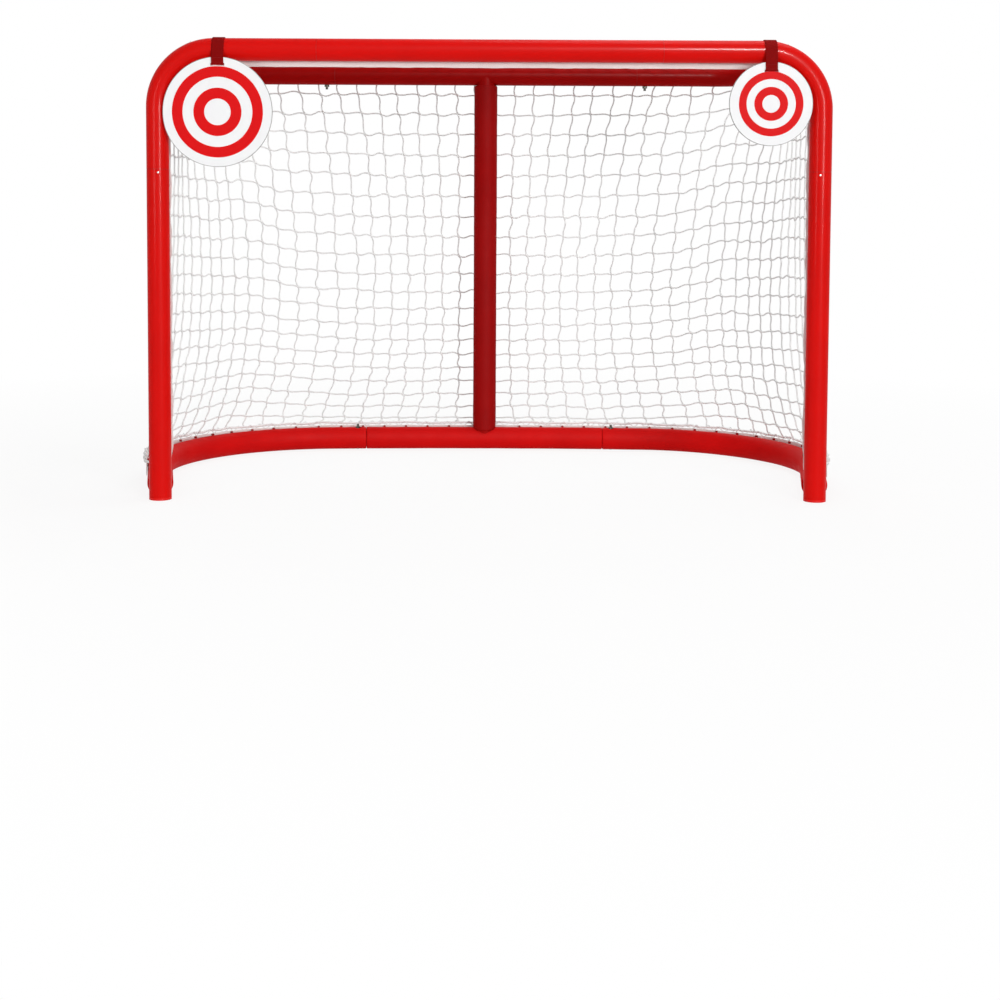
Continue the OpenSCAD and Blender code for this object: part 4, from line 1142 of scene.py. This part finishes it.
class GOAL_OT_targets(bpy.types.Operator):
    """Finishes the two hanging targets and makes their webbing straps"""

    bl_idname = "hockey_goal.targets"
    bl_label = "Targets and straps"

    def execute(self, context):
        settings = context.scene.hockey_goal_targets
        webbing = woven_webbing("hook_and_loop_webbing_maroon", (*settings.strap, 1.0), 2.0, 32.5)
        thread = braided_cord("polyester_thread_maroon", shade((*settings.strap, 1.0), 1.5), 2.0, 2)
        ink = ring_print((*settings.ring, 1.0))
        for name, centre_z, slot_up, drop in TARGETS:
            lo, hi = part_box(name + "_plate")
            centre, radius = ((lo.x + hi.x) / 2, 0, (lo.z + hi.z) / 2), (hi.x - lo.x) / 2 / MM
            face = foam_sheet(f"crosslinked_foam_{name}", (*settings.face, 1.0), centre, radius)
            dress([name + "_plate"], face)
            dress([name + "_rings"], ink)
            lo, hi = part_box(name + "_strap")
            x = (lo.x + hi.x) / 2 / MM
            slot_z = centre_z + slot_up
            loop = self.loop_path(slot_z - (BAR_Z - drop), TUBE_R + 1.6 + drop)
            path = place(x, loop[:, 0], loop[:, 1] + BAR_Z - drop)
            band = rounded_band(hi.x - lo.x, STRAP_THICK)
            shape = sweep(path[None], ACROSS, band, closed=True)
            piece = new_piece(name + "_strap_webbing", shape, webbing, body=name)
            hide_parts(name + "_strap")
            box = self.stitches(x, slot_z)
            new_piece(name + "_strap_stitching", box, thread, body=name)
        return {"FINISHED"}

    def loop_path(self, slot_z, radius):
        """Middle line of a strap in y and z about the crossbar's axis: an arc round the bar that
        leaves it on straight lines to the shoulder in front and to the slot, in short steps, its
        corners then cut round four times."""
        shoulder = np.array([STRAP_Y, SHOULDER_Z])
        low = np.array([STRAP_Y, slot_z - 0.6])
        start = math.atan2(low[1], low[0]) + math.acos(radius / np.hypot(*low))
        end = math.atan2(shoulder[1], shoulder[0]) - math.acos(radius / np.hypot(*shoulder)) + 2 * math.pi
        turn = np.linspace(start, end, 60)
        arc = radius * np.stack([np.cos(turn), np.sin(turn)], -1)
        front = mix(shoulder, low, np.linspace(0.05, 1, 20)[:, None])
        rear = mix(low, arc[0], np.linspace(0.04, 0.96, 24)[:, None])
        ring = np.concatenate([arc, shoulder[None], front, rear])
        for _ in range(4):
            after = np.roll(ring, -1, 0)
            ring = np.stack([0.75 * ring + 0.25 * after, 0.25 * ring + 0.75 * after], 1).reshape(-1, 2)
        closed = np.concatenate([ring, ring[:1]])
        step = np.linalg.norm(np.diff(closed, axis=0), axis=-1)
        far = np.concatenate([[0], np.cumsum(step)])
        even = np.linspace(0, far[-1], 161)[:-1]
        return np.stack([np.interp(even, far, closed[:, 0]), np.interp(even, far, closed[:, 1])], -1)

    def stitches(self, x, slot_z):
        """A box of stitches on the strap's front just over the slot, each a short low arch."""
        wide, high, pitch, stitch = 23.0, 12.0, 2.6, 1.9
        low = slot_z + 5.0
        nx, nz = int(wide / pitch), int(high / pitch)
        across = x + (np.arange(nx) + 0.5) * wide / nx - wide / 2
        up = low + (np.arange(nz) + 0.5) * high / nz
        t = np.linspace(-0.5, 0.5, 5)
        arch = STITCH_Y - 0.28 * np.cos(np.pi * t)
        level = [place(across[:, None] + stitch * t, arch, z) for z in (low, low + high)]
        upright = [place(edge, arch, up[:, None] + stitch * t) for edge in (x - wide / 2, x + wide / 2)]
        return sweep(np.concatenate(level + upright), BACK, circle(THREAD_R, 5))


PIECES = (
    GOAL_OT_stage, GOAL_OT_frame, GOAL_OT_pads, GOAL_OT_hems, GOAL_OT_net, GOAL_OT_ropes, GOAL_OT_targets,
)  # fmt: skip
SETTINGS = {
    "hockey_goal_stage": GoalStageSettings,
    "hockey_goal_paint": GoalPaintSettings,
    "hockey_goal_pads": GoalPadSettings,
    "hockey_goal_net": GoalNetSettings,
    "hockey_goal_targets": GoalTargetSettings,
}


class GOAL_PT_panel(bpy.types.Panel):
    """Lists the pieces of the goal with their sizes and colours"""

    bl_idname = "GOAL_PT_panel"
    bl_label = "Hockey Goal"
    bl_space_type = "VIEW_3D"
    bl_region_type = "UI"
    bl_category = "Hockey Goal"

    def draw(self, context):
        for name, group in SETTINGS.items():
            box = self.layout.box()
            for setting in group.__annotations__:
                box.prop(getattr(context.scene, name), setting)
        for piece in PIECES:
            self.layout.operator(piece.bl_idname)


def register():
    for group in SETTINGS.values():
        bpy.utils.register_class(group)
    for piece in (*PIECES, GOAL_PT_panel):
        bpy.utils.register_class(piece)
    for name, group in SETTINGS.items():
        setattr(bpy.types.Scene, name, PointerProperty(type=group))


def unregister():
    for name in SETTINGS:
        delattr(bpy.types.Scene, name)
    for piece in (GOAL_PT_panel, *reversed(PIECES)):
        bpy.utils.unregister_class(piece)
    for group in SETTINGS.values():
        bpy.utils.unregister_class(group)


def main():
    register()
    for name in ("stage", "frame", "pads", "hems", "net", "ropes", "targets"):
        getattr(bpy.ops.hockey_goal, name)()
    bpy.context.view_layer.update()


if __name__ == "__main__":
    main()
